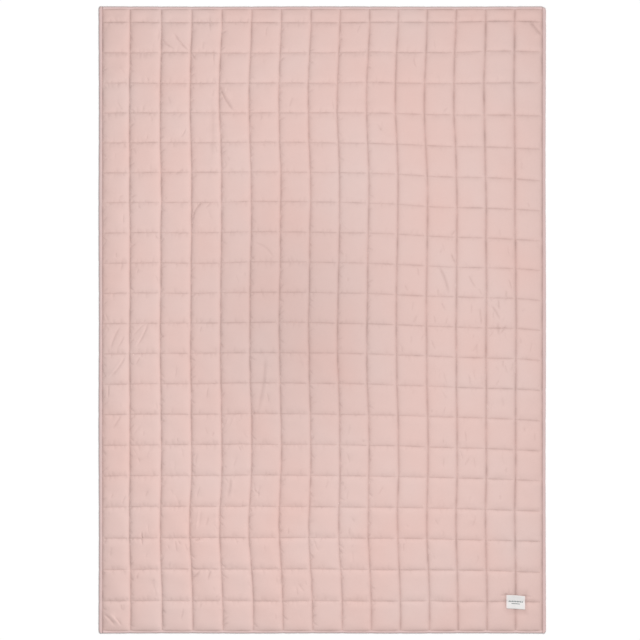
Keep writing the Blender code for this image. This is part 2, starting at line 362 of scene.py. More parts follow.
def simulate(cloth):
    modifier = cloth.modifiers.new("Cloth", "CLOTH")
    settings = modifier.settings
    settings.quality = settling["quality"]
    settings.mass = settling["mass"]
    settings.air_damping = settling["air"]
    settings.tension_stiffness = settling["stretch"]
    settings.compression_stiffness = settling["stretch"]
    settings.shear_stiffness = settling["shear"]
    settings.bending_stiffness = settling["bending"]
    settings.vertex_group_mass = "sewn"
    settings.pin_stiffness = 1.0
    settings.shrink_min = -settling["growth"]
    settings.use_pressure = True
    settings.uniform_pressure_force = settling["pressure"]
    settings.effector_weights.gravity = 0
    modifier.collision_settings.use_collision = False
    modifier.collision_settings.use_self_collision = False
    modifier.point_cache.frame_start = 1
    modifier.point_cache.frame_end = settling["frames"]
    for number in range(1, settling["frames"] + 1):
        bpy.context.scene.frame_set(number)


def sampled(grid, x, y):
    # Cubic reading of the settled cloth's grid at any place of the layout
    steps = settling["steps"]
    column = np.interp(x, uprights, np.arange(len(uprights))) * steps
    row = np.interp(y, crosses, np.arange(len(crosses))) * steps
    total = 0.0
    left, foot = np.floor(column).astype(int), np.floor(row).astype(int)
    acrossWeights, alongWeights = cubicWeights(column - left), cubicWeights(row - foot)
    for a in range(4):
        for b in range(4):
            i = np.clip(left + a - 1, 0, grid.shape[1] - 1)
            j = np.clip(foot + b - 1, 0, grid.shape[0] - 1)
            total = total + grid[j, i] * (acrossWeights[a] * alongWeights[b])[:, None]
    return total


def cubicWeights(t):
    return (
        ((2 - t) * t - 1) * t / 2,
        ((3 * t - 5) * t * t + 2) / 2,
        ((4 - 3 * t) * t + 1) * t / 2,
        (t - 1) * t * t / 2,
    )


# Small puckers that run out of the cross seams, most of them on the left
puckers = {
    "nearest": 7.0 * mm,
    "furthest": 24.0 * mm,
    "shortest": 9.0 * mm,
    "longest": 27.0 * mm,
    "narrowest": 1.8 * mm,
    "widest": 3.0 * mm,
    "shallowest": 0.45 * mm,
    "deepest": 1.45 * mm,
    "mostSlant": 0.35,
    "leftWeight": 1.0,
    "rightWeight": 0.45,
    "used": 0.80,
    "start": 1.5 * mm,
    "spread": 0.7,
    "clear": 6.0 * mm,
    "meshAlong": (1.8 * mm, 5.0 * mm, 10.0 * mm, 17.0 * mm),
    "meshAcross": (-1.3, 0.0, 1.3),
    "seed": 11,
}


def puckersOfSquares():
    # For each square its rows of (place, seam, up or down, length, width, depth, slant)
    rng = np.random.default_rng(puckers["seed"])
    found = {}
    for seam in range(1, layout["rows"]):
        for side in (1, -1):
            x = -ditchX + rng.uniform(puckers["nearest"], puckers["furthest"])
            while x < ditchX - puckers["nearest"]:
                lean = 0.5 - 0.5 * x / ditchX
                more = puckers["leftWeight"] - puckers["rightWeight"]
                weight = puckers["rightWeight"] + lean * more
                length = rng.uniform(puckers["shortest"], puckers["longest"])
                width = rng.uniform(puckers["narrowest"], puckers["widest"])
                depth = weight * rng.uniform(puckers["shallowest"], puckers["deepest"])
                slant = rng.normal(0, puckers["mostSlant"] / 2)
                column = int(np.clip(np.searchsorted(uprights, x) - 1, 0, layout["columns"] - 1))
                row = seam if side > 0 else seam - 1
                clear = min(x - uprights[column], uprights[column + 1] - x) > puckers["clear"]
                if clear and rng.random() < puckers["used"] * weight**0.5:
                    rows = found.setdefault((column, row), [])
                    rows.append((x, crosses[seam], side, length, width, depth, slant))
                x += rng.uniform(puckers["nearest"], puckers["furthest"])
    return found


def puckerHeight(x, y, rows):
    height = np.zeros(len(x))
    for place, seam, side, length, width, depth, slant in rows:
        out = (y - seam) * side
        aside = (x - place - slant * out) / (width * (1 + puckers["spread"] * out / length))
        fade = (1 - np.exp(-out / puckers["start"])) * (1 - smooth(out / length))
        height -= depth * fade * np.exp(-(aside**2))
    return height


def puckerPoints(rows):
    points = []
    for place, seam, side, length, width, depth, slant in rows:
        for out in puckers["meshAlong"]:
            if out < length:
                for share in puckers["meshAcross"]:
                    spread = width * (1 + puckers["spread"] * out / length)
                    points.append((place + slant * out + share * spread, seam + side * out))
    return points


# Main creases, in millimetres on the laid blanket: ends, bow to the left, half width, depth
creaseColumns = ("fromX", "fromY", "toX", "toY", "bow", "width", "depth")
creaseStrength = 1.6
creaseEnds = {"past": 0.15, "fadeIn": 0.35, "fadeOut": 0.45}
creaseGrid = {"past": 0.08, "step": 3.5, "fewest": 4, "aside": (-2.0, -0.9, 0.0, 0.9, 2.0)}
creases = (
    # Near the head, on the left
    (-454, 795, -424, 771, -2, 2.2, 1.08),
    (-419, 811, -381, 766, -3, 2.4, 1.22),
    (-410, 800, -378, 775, -2, 3.4, -0.68),
    (-321, 863, -318, 821, 0, 1.9, 0.61),
    (-289, 655, -253, 595, -3, 2.7, 1.49),
    (-279, 658, -246, 602, -3, 3.4, -0.81),
    (-309, 761, -307, 724, -1, 2.0, 0.68),
    (-313, 612, -314, 452, 3, 6.5, 0.55),
    (-301, 610, -302, 455, 3, 6.5, -0.36),
    (-368, 750, -361, 740, 0, 1.9, 0.68),
    # On the left, above the middle
    (-367, 290, -340, 336, 6, 2.3, 0.95),
    (-332, 319, -318, 333, -1, 1.9, 0.68),
    (-370, 269, -347, 269, 0, 3.4, -0.94),
    (-417, 414, -396, 429, -1, 2.5, 0.81),
    (-577, 347, -567, 354, 0, 1.9, 0.68),
    (-544, 348, -530, 356, 0, 2.0, 0.68),
    # On the right, round the middle
    (366, 188, 378, 163, -1, 2.4, 1.19),
    (270, 147, 273, 126, 0, 2.0, 0.74),
    (333, 149, 358, 76, 3, 3.3, 1.19),
    (343, 150, 368, 80, 3, 4.1, -0.59),
    (417, 124, 435, 92, -1, 2.4, 0.89),
    (327, 88, 329, 68, 0, 2.0, 0.74),
    (233, 99, 242, 82, 0, 2.0, 0.74),
    (522, 83, 522, 55, 0, 2.4, 0.89),
    (500, 57, 503, 30, -1, 2.4, 1.04),
    (481, 39, 503, 2, 2, 2.8, 1.04),
    (448, 31, 453, -8, -1, 2.5, 0.89),
    (338, 49, 348, 28, 0, 2.2, 0.74),
    (498, -8, 500, -43, 0, 2.4, 0.89),
    (513, -114, 513, -136, 0, 2.2, 0.74),
    # The left corner of the foot end, and above it
    (-617, -838, -590, -866, 2, 2.5, 1.17),
    (-589, -845, -571, -866, 1, 2.4, 0.97),
    (-603, -838, -578, -864, 2, 3.1, -0.97),
    (-369, -733, -349, -713, -2, 2.5, 1.22),
    (-317, -713, -325, -738, -1, 2.4, 1.08),
    (-362, -627, -345, -619, -1, 2.2, 1.08),
    (-360, -634, -342, -626, -1, 2.9, -0.68),
    (-513, -603, -512, -638, 0, 1.8, 1.22),
    # One long fold left of the middle
    (-162, -112, -183, -257, 4, 4.2, 0.85),
    # The right corner of the head end, then round the label
    (590, 847, 624, 806, 0, 4.2, 1.30),
    (506, -782, 524, -779, 0, 2.6, 0.80),
    (572, -783, 592, -786, 0, 2.6, 0.65),
    (530, -762, 531, -779, -1, 2.4, 0.60),
    # The ridge beside the long fold
    (-154, -114, -174, -250, 4, 4.6, -0.50),
    # Near the left edge, below the middle
    (-498, -19, -526, -73, 2, 2.6, 0.90),
    (-506, -24, -534, -76, 2, 3.0, -0.50),
    (-509, -14, -537, -44, 0, 2.2, 0.70),
    (-576, -23, -601, -83, -3, 2.6, 0.90),
    (-565, -47, -580, -76, 2, 2.2, 0.70),
    (-562, -108, -601, -161, 3, 2.8, 1.00),
    (-570, -112, -607, -160, 3, 3.2, -0.50),
    (-519, -108, -530, -126, 0, 2.0, 0.80),
    (-608, -186, -608, -222, 0, 2.2, 0.80),
    # More on the right
    (365, 240, 376, 254, -1, 2.2, 0.90),
    (522, -16, 504, -40, 1, 2.1, 0.90),
    (319, -115, 323, -172, 0, 2.4, -0.60),
    (344, -151, 351, -179, 0, 2.2, 0.50),
    (518, -129, 525, -151, 0, 2.0, 0.60),
    # Short folds on the left, below the middle
    (-267, -277, -274, -298, 0, 1.9, -0.60),
    (-251, -277, -260, -301, 0, 1.9, -0.60),
    (-233, -277, -240, -293, 0, 1.9, -0.50),
    (-352, -541, -360, -598, 0, 2.4, -0.60),
    (-344, -545, -350, -590, 0, 2.2, 0.50),
    (-303, -541, -303, -600, 0, 2.2, -0.60),
    (-262, -450, -270, -505, 2, 3.0, 0.70),
    (-254, -452, -262, -508, 2, 3.4, -0.60),
    (-238, -357, -232, -372, 0, 2.0, 0.70),
    (-573, -274, -594, -307, 0, 2.4, 0.80),
    # One bowed fold, left of the middle and above it
    (-189, 219, -139, 176, 8, 2.6, 0.60),
)


# Fine wrinkles: in these patches of the blanket they lie close together, elsewhere there are few
wrinkles = {
    "patches": (
        (-560, 0, 130, 800, 0.8),
        (-380, -600, 330, 330, 1.2),
        (430, -60, 190, 240, 2.6),
        (-330, 650, 250, 250, 0.6),
        (330, -520, 330, 230, 0.6),
    ),
    "fewest": 0.15,
    "gatherNearest": 12,
    "gatherFurthest": 60,
    "gatherUntil": 150,
    "gatherStart": 1,
    "gatherLean": (0.5, 1.2),
    "shortest": 9,
    "longest": 34,
    "narrowest": 1.5,
    "widest": 2.6,
    "shallowest": 0.22,
    "deepest": 0.75,
    "lean": 0.30,
    "mostBow": 3.0,
    "clear": 8,
    "leastLeft": 0.7,
    "seed": 41,
}


def fineWrinkles():
    rng = np.random.default_rng(wrinkles["seed"])
    found = []
    for column in range(layout["columns"]):
        for row in range(layout["rows"] - 1):
            low = np.array((uprights[column], crosses[row])) / mm + wrinkles["clear"]
            high = np.array((uprights[column + 1], crosses[row + 1])) / mm - wrinkles["clear"]
            x, y = (low + high) / 2
            most = wrinkles["fewest"]
            for patchX, patchY, reachX, reachY, number in wrinkles["patches"]:
                off = ((x - patchX) / reachX) ** 2 + ((y - patchY) / reachY) ** 2
                most += number * math.exp(-off)
            for _ in range(rng.poisson(most)):
                centre = rng.uniform(low, high)
                length = rng.uniform(wrinkles["shortest"], wrinkles["longest"])
                lean = rng.normal(0, wrinkles["lean"])
                half = length / 2 * np.array((math.sin(lean), math.cos(lean)))
                ends = np.clip([centre - half, centre + half], low, high)
                if ends[1, 1] - ends[0, 1] < wrinkles["shortest"] * wrinkles["leastLeft"]:
                    continue
                laid = np.stack(sewn(ends[:, 0] * mm, ends[:, 1] * mm), -1) / mm
                width = rng.uniform(wrinkles["narrowest"], wrinkles["widest"])
                depth = rng.uniform(wrinkles["shallowest"], wrinkles["deepest"])
                bow = rng.uniform(-1, 1) * wrinkles["mostBow"] * length / wrinkles["longest"]
                found.append((*laid[0], *laid[1], bow, width, depth))
    return found + seamGathers(rng)


def seamGathers(rng):
    # Short slanting folds that start on the right of the upright seams, on the left of the blanket
    found = []
    for seam in uprights[uprights < wrinkles["gatherUntil"] * mm] / mm:
        y = -ditchY / mm + rng.uniform(wrinkles["gatherNearest"], wrinkles["gatherFurthest"])
        while y < ditchY / mm - wrinkles["gatherFurthest"]:
            length = rng.uniform(wrinkles["shortest"], wrinkles["shortest"] * 2)
            lean = rng.uniform(*wrinkles["gatherLean"]) * rng.choice((-1, 1))
            start = seam + wrinkles["gatherStart"]
            endX = start + length * abs(math.sin(lean))
            endY = y + length * math.cos(lean) * math.copysign(1, lean)
            laid = np.stack(sewn(np.array((start, endX)) * mm, np.array((y, endY)) * mm), -1) / mm
            width = rng.uniform(wrinkles["narrowest"], wrinkles["widest"])
            depth = rng.uniform(wrinkles["shallowest"], wrinkles["deepest"])
            found.append((*laid[0], *laid[1], 0.0, width, depth))
            y += rng.uniform(wrinkles["gatherNearest"], wrinkles["gatherFurthest"])
    return found


def creaseTrack(crease, share, aside):
    # Points along a crease's bowed line, set aside by so many half widths
    length = math.hypot(crease["toX"] - crease["fromX"], crease["toY"] - crease["fromY"])
    unitX = (crease["toX"] - crease["fromX"]) / length
    unitY = (crease["toY"] - crease["fromY"]) / length
    off = crease["bow"] * 4 * share * (1 - share) + aside * crease["width"]
    x = crease["fromX"] + share * length * unitX - off * unitY
    y = crease["fromY"] + share * length * unitY + off * unitX
    return x * mm, y * mm


def creaseHeight(laidX, laidY):
    height = np.zeros(len(laidX))
    for row in everyCrease:
        crease = dict(zip(creaseColumns, row))
        runX, runY = crease["toX"] - crease["fromX"], crease["toY"] - crease["fromY"]
        length = math.hypot(runX, runY)
        x, y = laidX / mm - crease["fromX"], laidY / mm - crease["fromY"]
        # Only the points round the crease are worked out
        reach = (0.5 + creaseEnds["past"]) * length + abs(crease["bow"]) + 3 * crease["width"]
        near = np.flatnonzero((np.abs(x - runX / 2) < reach) & (np.abs(y - runY / 2) < reach))
        x, y = x[near], y[near]
        share = (x * runX + y * runY) / length**2
        aside = (y * runX - x * runY) / length
        off = (aside - crease["bow"] * 4 * share * (1 - share)) / crease["width"]
        begun = smooth((share + creaseEnds["past"]) / creaseEnds["fadeIn"])
        left = smooth((1 + creaseEnds["past"] - share) / creaseEnds["fadeOut"])
        height[near] -= crease["depth"] * mm * creaseStrength * begun * left * np.exp(-(off**2))
    return height


everyCrease = list(creases) + fineWrinkles()


def labelSeat(laidX, laidY):
    # The cloth is drawn down round the sewn-on label
    u, v = laidX - label["place"][0], laidY - label["place"][1]
    aside = np.abs(u) - label["width"] / 2
    beyond = np.abs(v + u * math.tan(label["fall"])) - label["depth"] / 2
    outside = np.maximum(aside, beyond)
    return -label["seat"] * np.exp(-((np.maximum(outside, 0.0) / label["seatReach"]) ** 2))


def creasePoints():
    points = []
    for row in everyCrease:
        crease = dict(zip(creaseColumns, row))
        length = math.hypot(crease["toX"] - crease["fromX"], crease["toY"] - crease["fromY"])
        number = max(creaseGrid["fewest"], int(length / creaseGrid["step"]))
        for share in np.linspace(-creaseGrid["past"], 1 + creaseGrid["past"], number):
            for aside in creaseGrid["aside"]:
                points.append(creaseTrack(crease, share, aside))
    return np.array(points)


def triangles(points):
    # Delaunay faces of one square's points, facing up
    scaled = [Vector(p) for p in (points / mm).tolist()]
    _, _, faces, origins, _, _ = delaunay_2d_cdt(scaled, [], [], 0, 1e-5)
    first = np.array([o[0] for o in origins])
    found = first[np.array(faces)]
    a, b, c = (points[found[:, k]] for k in range(3))
    turn = (b - a)[:, 0] * (c - a)[:, 1] - (b - a)[:, 1] * (c - a)[:, 0]
    found = found[np.abs(turn) > 1e-10]
    turn = turn[np.abs(turn) > 1e-10]
    found[turn < 0] = found[turn < 0][:, ::-1]
    return found


def facePoints(column, row, extra):
    left, right = uprights[column], uprights[column + 1]
    foot, head = crosses[row], crosses[row + 1]
    xs = squareLines(left, right, panel["faceLines"])
    ys = squareLines(foot, head, panel["faceLines"])
    x, y = (a.ravel() for a in np.meshgrid(xs, ys))
    base = np.stack([x, y], -1)
    onEdge = (x == xs[0]) | (x == xs[-1]) | (y == ys[0]) | (y == ys[-1])
    inner = base[~onEdge]
    if len(extra):
        near = np.minimum(extra[:, 0] - left, right - extra[:, 0])
        near = np.minimum(near, np.minimum(extra[:, 1] - foot, head - extra[:, 1]))
        extra = extra[near > panel["creaseRoom"]]
        _, single = np.unique(np.round(extra / panel["creaseStep"]), axis=0, return_index=True)
        extra = extra[np.sort(single)]
        if len(extra):
            apart = np.abs(inner[:, None] - extra[None]).max(-1).min(-1)
            inner = inner[apart > panel["creaseApart"]]
    return np.concatenate([base[onEdge], inner, extra.reshape(-1, 2)])


def footPoints(column, row):
    left, right = uprights[column], uprights[column + 1]
    foot, head = crosses[row], crosses[row + 1]
    xs = squareLines(left, right, panel["footLines"])
    ys = squareLines(foot, head, panel["footLines"])
    points = [(x, y) for y in ys for x in xs]
    # The outer edges take the face's own points, so that the rim can join the two
    if column in (0, layout["columns"] - 1):
        x = left if column == 0 else right
        points = [p for p in points if p[0] != x]
        points += [(x, y) for y in squareLines(foot, head, panel["faceLines"])]
    if row in (0, layout["rows"] - 1):
        y = foot if row == 0 else head
        points = [p for p in points if p[1] != y]
        points += [(x, y) for x in squareLines(left, right, panel["faceLines"])]
    return np.unique(np.array(points), axis=0)


def footHeight(x, y, column, row):
    fromSide = np.minimum(x - uprights[column], uprights[column + 1] - x)
    fromEnd = np.minimum(y - crosses[row], crosses[row + 1] - y)
    down = smooth(fromSide / panel["footReach"]) * smooth(fromEnd / panel["footReach"])
    seam = panel["edgeUnder"] + (panel["seamUnder"] - panel["edgeUnder"]) * edgeShare(x, y)
    return seam * (1 - down)


def weld(points):
    # One number for each place, to a thousandth of a millimetre
    keys, first, index = np.unique(
        np.round(points / (0.001 * mm)).astype(np.int64), axis=0, return_index=True, return_inverse=True
    )
    return points[first], index.reshape(-1)


def quiltMesh():
    rng = np.random.default_rng(panel["seed"])
    count = len(panel["unevenLengths"])
    phases = {
        "upright": rng.uniform(0, 2 * math.pi, (len(uprights), 2, count)),
        "cross": rng.uniform(0, 2 * math.pi, (len(crosses), 2, count)),
    }
    moved = settledCloth(phases)
    pucker = puckersOfSquares()
    crease = np.stack(unsewn(*creasePoints().T), -1)
    creaseColumn = np.searchsorted(uprights, crease[:, 0]) - 1
    creaseRow = np.searchsorted(crosses, crease[:, 1]) - 1
    flats, heights, presses, faces = ({"face": [], "foot": []} for _ in range(4))
    for column in range(layout["columns"]):
        for row in range(layout["rows"]):
            rows = pucker.get((column, row), [])
            here = crease[(creaseColumn == column) & (creaseRow == row)]
            extra = np.concatenate([np.array(puckerPoints(rows)).reshape(-1, 2), here])
            points = facePoints(column, row, extra)
            height = squareHeight(points[:, 0], points[:, 1], column, row, phases)
            pressed = -puckerHeight(points[:, 0], points[:, 1], rows)
            under = footPoints(column, row)
            underHeight = footHeight(under[:, 0], under[:, 1], column, row)
            for name, flat, z, press in (
                ("face", points, height, pressed),
                ("foot", under, underHeight, np.zeros(len(under))),
            ):
                start = sum(len(f) for f in flats[name])
                faces[name].append(triangles(flat) + start)
                flats[name].append(flat)
                heights[name].append(z)
                presses[name].append(press)
    built = {}
    for name in ("face", "foot"):
        flat = np.concatenate(flats[name])
        height = np.concatenate(heights[name])
        single, index = weld(flat)
        z, pressed = np.zeros(len(single)), np.zeros(len(single))
        z[index] = height
        pressed[index] = np.concatenate(presses[name])
        x, y = sewn(single[:, 0], single[:, 1])
        place = np.stack([x, y, z], -1)
        if name == "face":
            place += sampled(moved, single[:, 0], single[:, 1])
            inside = edgeShare(single[:, 0], single[:, 1])
            pressed -= inside * creaseHeight(place[:, 0], place[:, 1])
            pressed -= inside * labelSeat(place[:, 0], place[:, 1])
            place[:, 2] = np.maximum(place[:, 2] - pressed, panel["least"])
        built[name] = (single, place, index[np.concatenate(faces[name])], pressed)
    print("panel triangles:", {name: len(part[2]) for name, part in built.items()})
    return joinedPanel(built)


def rimPlace(x, y, side):
    # Where the panel's own edge lies inside the binding
    inset = panel["edgeCloth"] + panel["edgeFit"] + scallop["depth"]
    if side in ("left", "right"):
        return math.copysign(halfWidth - drawnIn(side, y) - inset, x), y
    return x, math.copysign(halfLength - drawnIn(side, x) - inset, y)


def joinedPanel(built):
    # The rim closes the face and the foot into one filled body
    faceFlat, facePlace, faceTris, pressed = built["face"]
    footFlat, footPlace, footTris = built["foot"][:3]
    flats = [faceFlat, footFlat]
    places = [facePlace, footPlace]
    polygons = [faceTris.tolist(), (footTris[:, ::-1] + len(faceFlat)).tolist()]
    loops = {}
    for name, flat in (("face", faceFlat), ("foot", footFlat)):
        loops[name] = outline(flat) + (0 if name == "face" else len(faceFlat))
    ring = loops["face"]
    count = len(ring)
    start = len(faceFlat) + len(footFlat)
    rims = []
    for k in ring:
        x, y = faceFlat[k]
        laidX, laidY = sewn(x, y)
        corner = abs(abs(x) - ditchX) < 1e-6 and abs(abs(y) - ditchY) < 1e-6
        reach = panel["edgeCloth"] + panel["edgeFit"] + panel["edgeCorner"]
        if corner:
            rims.append((math.copysign(halfWidth - reach, x), math.copysign(halfLength - reach, y)))
        elif abs(abs(x) - ditchX) < 1e-6:
            rims.append(rimPlace(laidX, laidY, "left" if x < 0 else "right"))
        else:
            rims.append(rimPlace(laidX, laidY, "head" if y > 0 else "foot"))
    rims = np.array(rims)
    for z in (panel["edgeTop"], panel["edgeUnder"]):
        places.append(np.column_stack([rims, np.full(count, z)]))
        flats.append(rims)
    for k in range(count):
        after = (k + 1) % count
        upper, upperAfter = start + k, start + after
        lower, lowerAfter = upper + count, upperAfter + count
        polygons.append([
            (ring[k], upper, upperAfter, ring[after]),
            (upper, lower, lowerAfter, upperAfter),
            (lower, loops["foot"][k], loops["foot"][after], lowerAfter),
        ])
    everyFace = [tuple(int(v) for v in face) for part in polygons for face in part]
    mesh = bpy.data.meshes.new("quiltPanel")
    mesh.from_pydata(np.concatenate(places).tolist(), [], everyFace)
    pressed = np.concatenate([pressed, np.zeros(sum(len(part) for part in flats[1:]))])
    return mesh, np.concatenate(flats), pressed


def outline(flat):
    # Numbers of the points on the edge of the quilting, once round, starting at the left foot corner
    x, y = flat[:, 0], flat[:, 1]
    near = 1e-6
    foot = np.flatnonzero(np.abs(y + ditchY) < near)
    right = np.flatnonzero(np.abs(x - ditchX) < near)
    head = np.flatnonzero(np.abs(y - ditchY) < near)
    left = np.flatnonzero(np.abs(x + ditchX) < near)
    foot = foot[np.argsort(x[foot])][:-1]
    right = right[np.argsort(y[right])][:-1]
    head = head[np.argsort(-x[head])][:-1]
    left = left[np.argsort(-y[left])][:-1]
    return np.concatenate([foot, right, head, left])


def flatCoordinates(mesh, flat):
    # The cloth's own flat places in metres
    layer = mesh.uv_layers.new(name="clothUV")
    corner = np.empty(len(mesh.loops), np.int32)
    mesh.loops.foreach_get("vertex_index", corner)
    layer.data.foreach_set("uv", flat[corner].astype(np.float32).ravel())


def seamDistances(mesh, values):
    # How far each point is from its nearest seams and how deep it is pressed in, in millimetres
    for name, numbers in values.items():
        attribute = mesh.attributes.new(name, "FLOAT", "POINT")
        attribute.data.foreach_set("value", np.asarray(numbers).astype(np.float32))


def quiltDistances(flat, pressed):
    values = {"pressed": np.maximum(pressed, 0.0) / mm}
    for name, seams, axis in (("fromUpright", uprights, 0), ("fromCross", crosses, 1)):
        values[name] = np.abs(flat[:, axis][:, None] - seams[None]).min(1) / mm
    number = np.searchsorted(uprights, flat[:, 0] + 0.01 * mm)
    following = uprights[np.clip(number, 1, len(uprights) - 1)]
    values["openGap"] = np.exp(-(((following - flat[:, 0]) / panel["crossGapReach"]) ** 2))
    return values


# Folded binding strips. Each has its turn, how it is drawn in between its ends, and how fast the
# painted shade at its lip fades
sides = {
    "left": {"turn": 0, "waves": 3, "depth": 1.0 * mm, "lipShadeFade": 1},
    "right": {"turn": 180, "waves": 2, "depth": 1.2 * mm, "lipShadeFade": 1.2},
    "head": {"turn": -90, "waves": 2, "depth": 0.7 * mm, "lipShadeFade": 2.4},
    "foot": {"turn": 90, "waves": 3, "depth": 0.7 * mm, "lipShadeFade": 2.4},
}
for name, facts in sides.items():
    upright = name in ("left", "right")
    facts["run"] = 2 * (halfLength if upright else halfWidth)
    facts["reach"] = halfWidth if upright else halfLength
scallop = {"depth": 0.5 * mm, "reach": 7.0 * mm}
binding = {
    "cloth": 0.9 * mm,
    "slotLow": 1.0 * mm,
    "slotHigh": 3.6 * mm,
    "slotMouth": 3.05 * mm,
    "station": 4.0 * mm,
    "corner": 9.0 * mm,
    "cornerPull": 5.5 * mm,
    "shortEnd": 3.0 * mm,
    "cornerRound": 0.98,
    "cornerTurn": 0.86,
    "endGap": 0.3 * mm,
    "endBlock": 1.4 * mm,
    "endStations": np.array((0.0, 0.35, 0.8, 1.4, 2.2, 3.2, 4.4, 5.8, 7.4)) * mm,
    "endStationRoom": 8.6 * mm,
    "endSqueeze": 0.75,
    "middle": 2.3 * mm,
    "topStart": 2.5 * mm,
    "topFade": 2.0 * mm,
    "seamPress": 0.35 * mm,
    "wrinkle": 0.16 * mm,
    "wrinkleLean": 0.9,
    "wrinkleLengths": (47 * mm, 21 * mm, 11.3 * mm),
    "flatWidthSide": 24.5 * mm,
    "flatWidthEnd": 21.0 * mm,
    "stitchInset": 1.6 * mm,
    "underStitch": 0.2 * mm,
    "stitchRoom": 2.5 * mm,
    "stitchLift": 0.08 * mm,
    "seed": 23,
}
# Outer side of a strip in millimetres, from under the panel round to above it
stripOutline = (
    (9.8, 0.0), (9.1, 0.0), (8.6, 0.25), (8.2, 0.32), (7.8, 0.32), (7.4, 0.25), (6.9, 0.0),
    (6.5, 0.0), (3.6, 0.0), (2.0, 0.12), (1.0, 0.55), (0.35, 1.2), (0.02, 1.95),
    (0.15, 2.75), (0.7, 3.6), (1.6, 4.3), (2.8, 4.85), (4.1, 5.15), (5.4, 5.1), (6.7, 4.7),
    (7.7, 4.2), (8.3, 4.05), (8.9, 4.2), (9.4, 4.15), (9.75, 3.9), (9.8, 3.65),
)
stripWidth = 9.8


def drawnIn(side, along):
    facts = sides[side]
    return facts["depth"] * np.sin(facts["waves"] * math.pi * (along / facts["run"] + 0.5)) ** 2


def placed(side, inward, along, up):
    turn = math.radians(sides[side]["turn"])
    reach = sides[side]["reach"]
    x = inward * math.cos(turn) - along * math.sin(turn) - reach * math.cos(turn)
    y = inward * math.sin(turn) + along * math.cos(turn) - reach * math.sin(turn)
    return np.stack([x, y, up + 0 * x], -1)


def seamsAt(side):
    if side in ("left", "right"):
        x = math.copysign(ditchX, -1 if side == "left" else 1)
        return sewn(np.full(len(crosses) - 2, x), crosses[1:-1])[1]
    y = math.copysign(ditchY, 1 if side == "head" else -1)
    return sewn(uprights[1:-1], np.full(len(uprights) - 2, y))[0]


def stripStations(side):
    forward = 1 if side in ("left", "head") else -1
    closed = side in ("left", "right")
    half = sides[side]["run"] / 2
    if not closed:
        half -= layout["sideStrip"] + binding["endGap"]
    # The right strip stops short of the head, which leaves a small step at that corner
    start = -half + (binding["shortEnd"] if side == "right" else 0.0)
    along = np.linspace(start, half, int(2 * half / binding["station"]))
    if closed:
        ends, room = binding["endStations"], binding["endStationRoom"]
        inner = along[(along > start + room) & (along < half - room)]
        along = np.concatenate([start + ends, inner, (half - ends)[::-1]])
    pull = drawnIn(side, forward * along)
    seams = seamsAt(side)
    nearest = np.abs(forward * along[:, None] - seams[None]).min(1)
    pull = pull + scallop["depth"] * np.exp(-((nearest / scallop["reach"]) ** 2))
    fromEnd = np.minimum(along - start, half - along)
    if closed:
        turned = np.clip((binding["corner"] - fromEnd) / binding["corner"], 0, 1)
        rounding = (1 - np.sqrt(1 - binding["cornerRound"] * turned**2)) / binding["cornerTurn"]
        pull = pull * (1 - turned) + binding["cornerPull"] * rounding
    return along, pull, nearest, fromEnd, closed


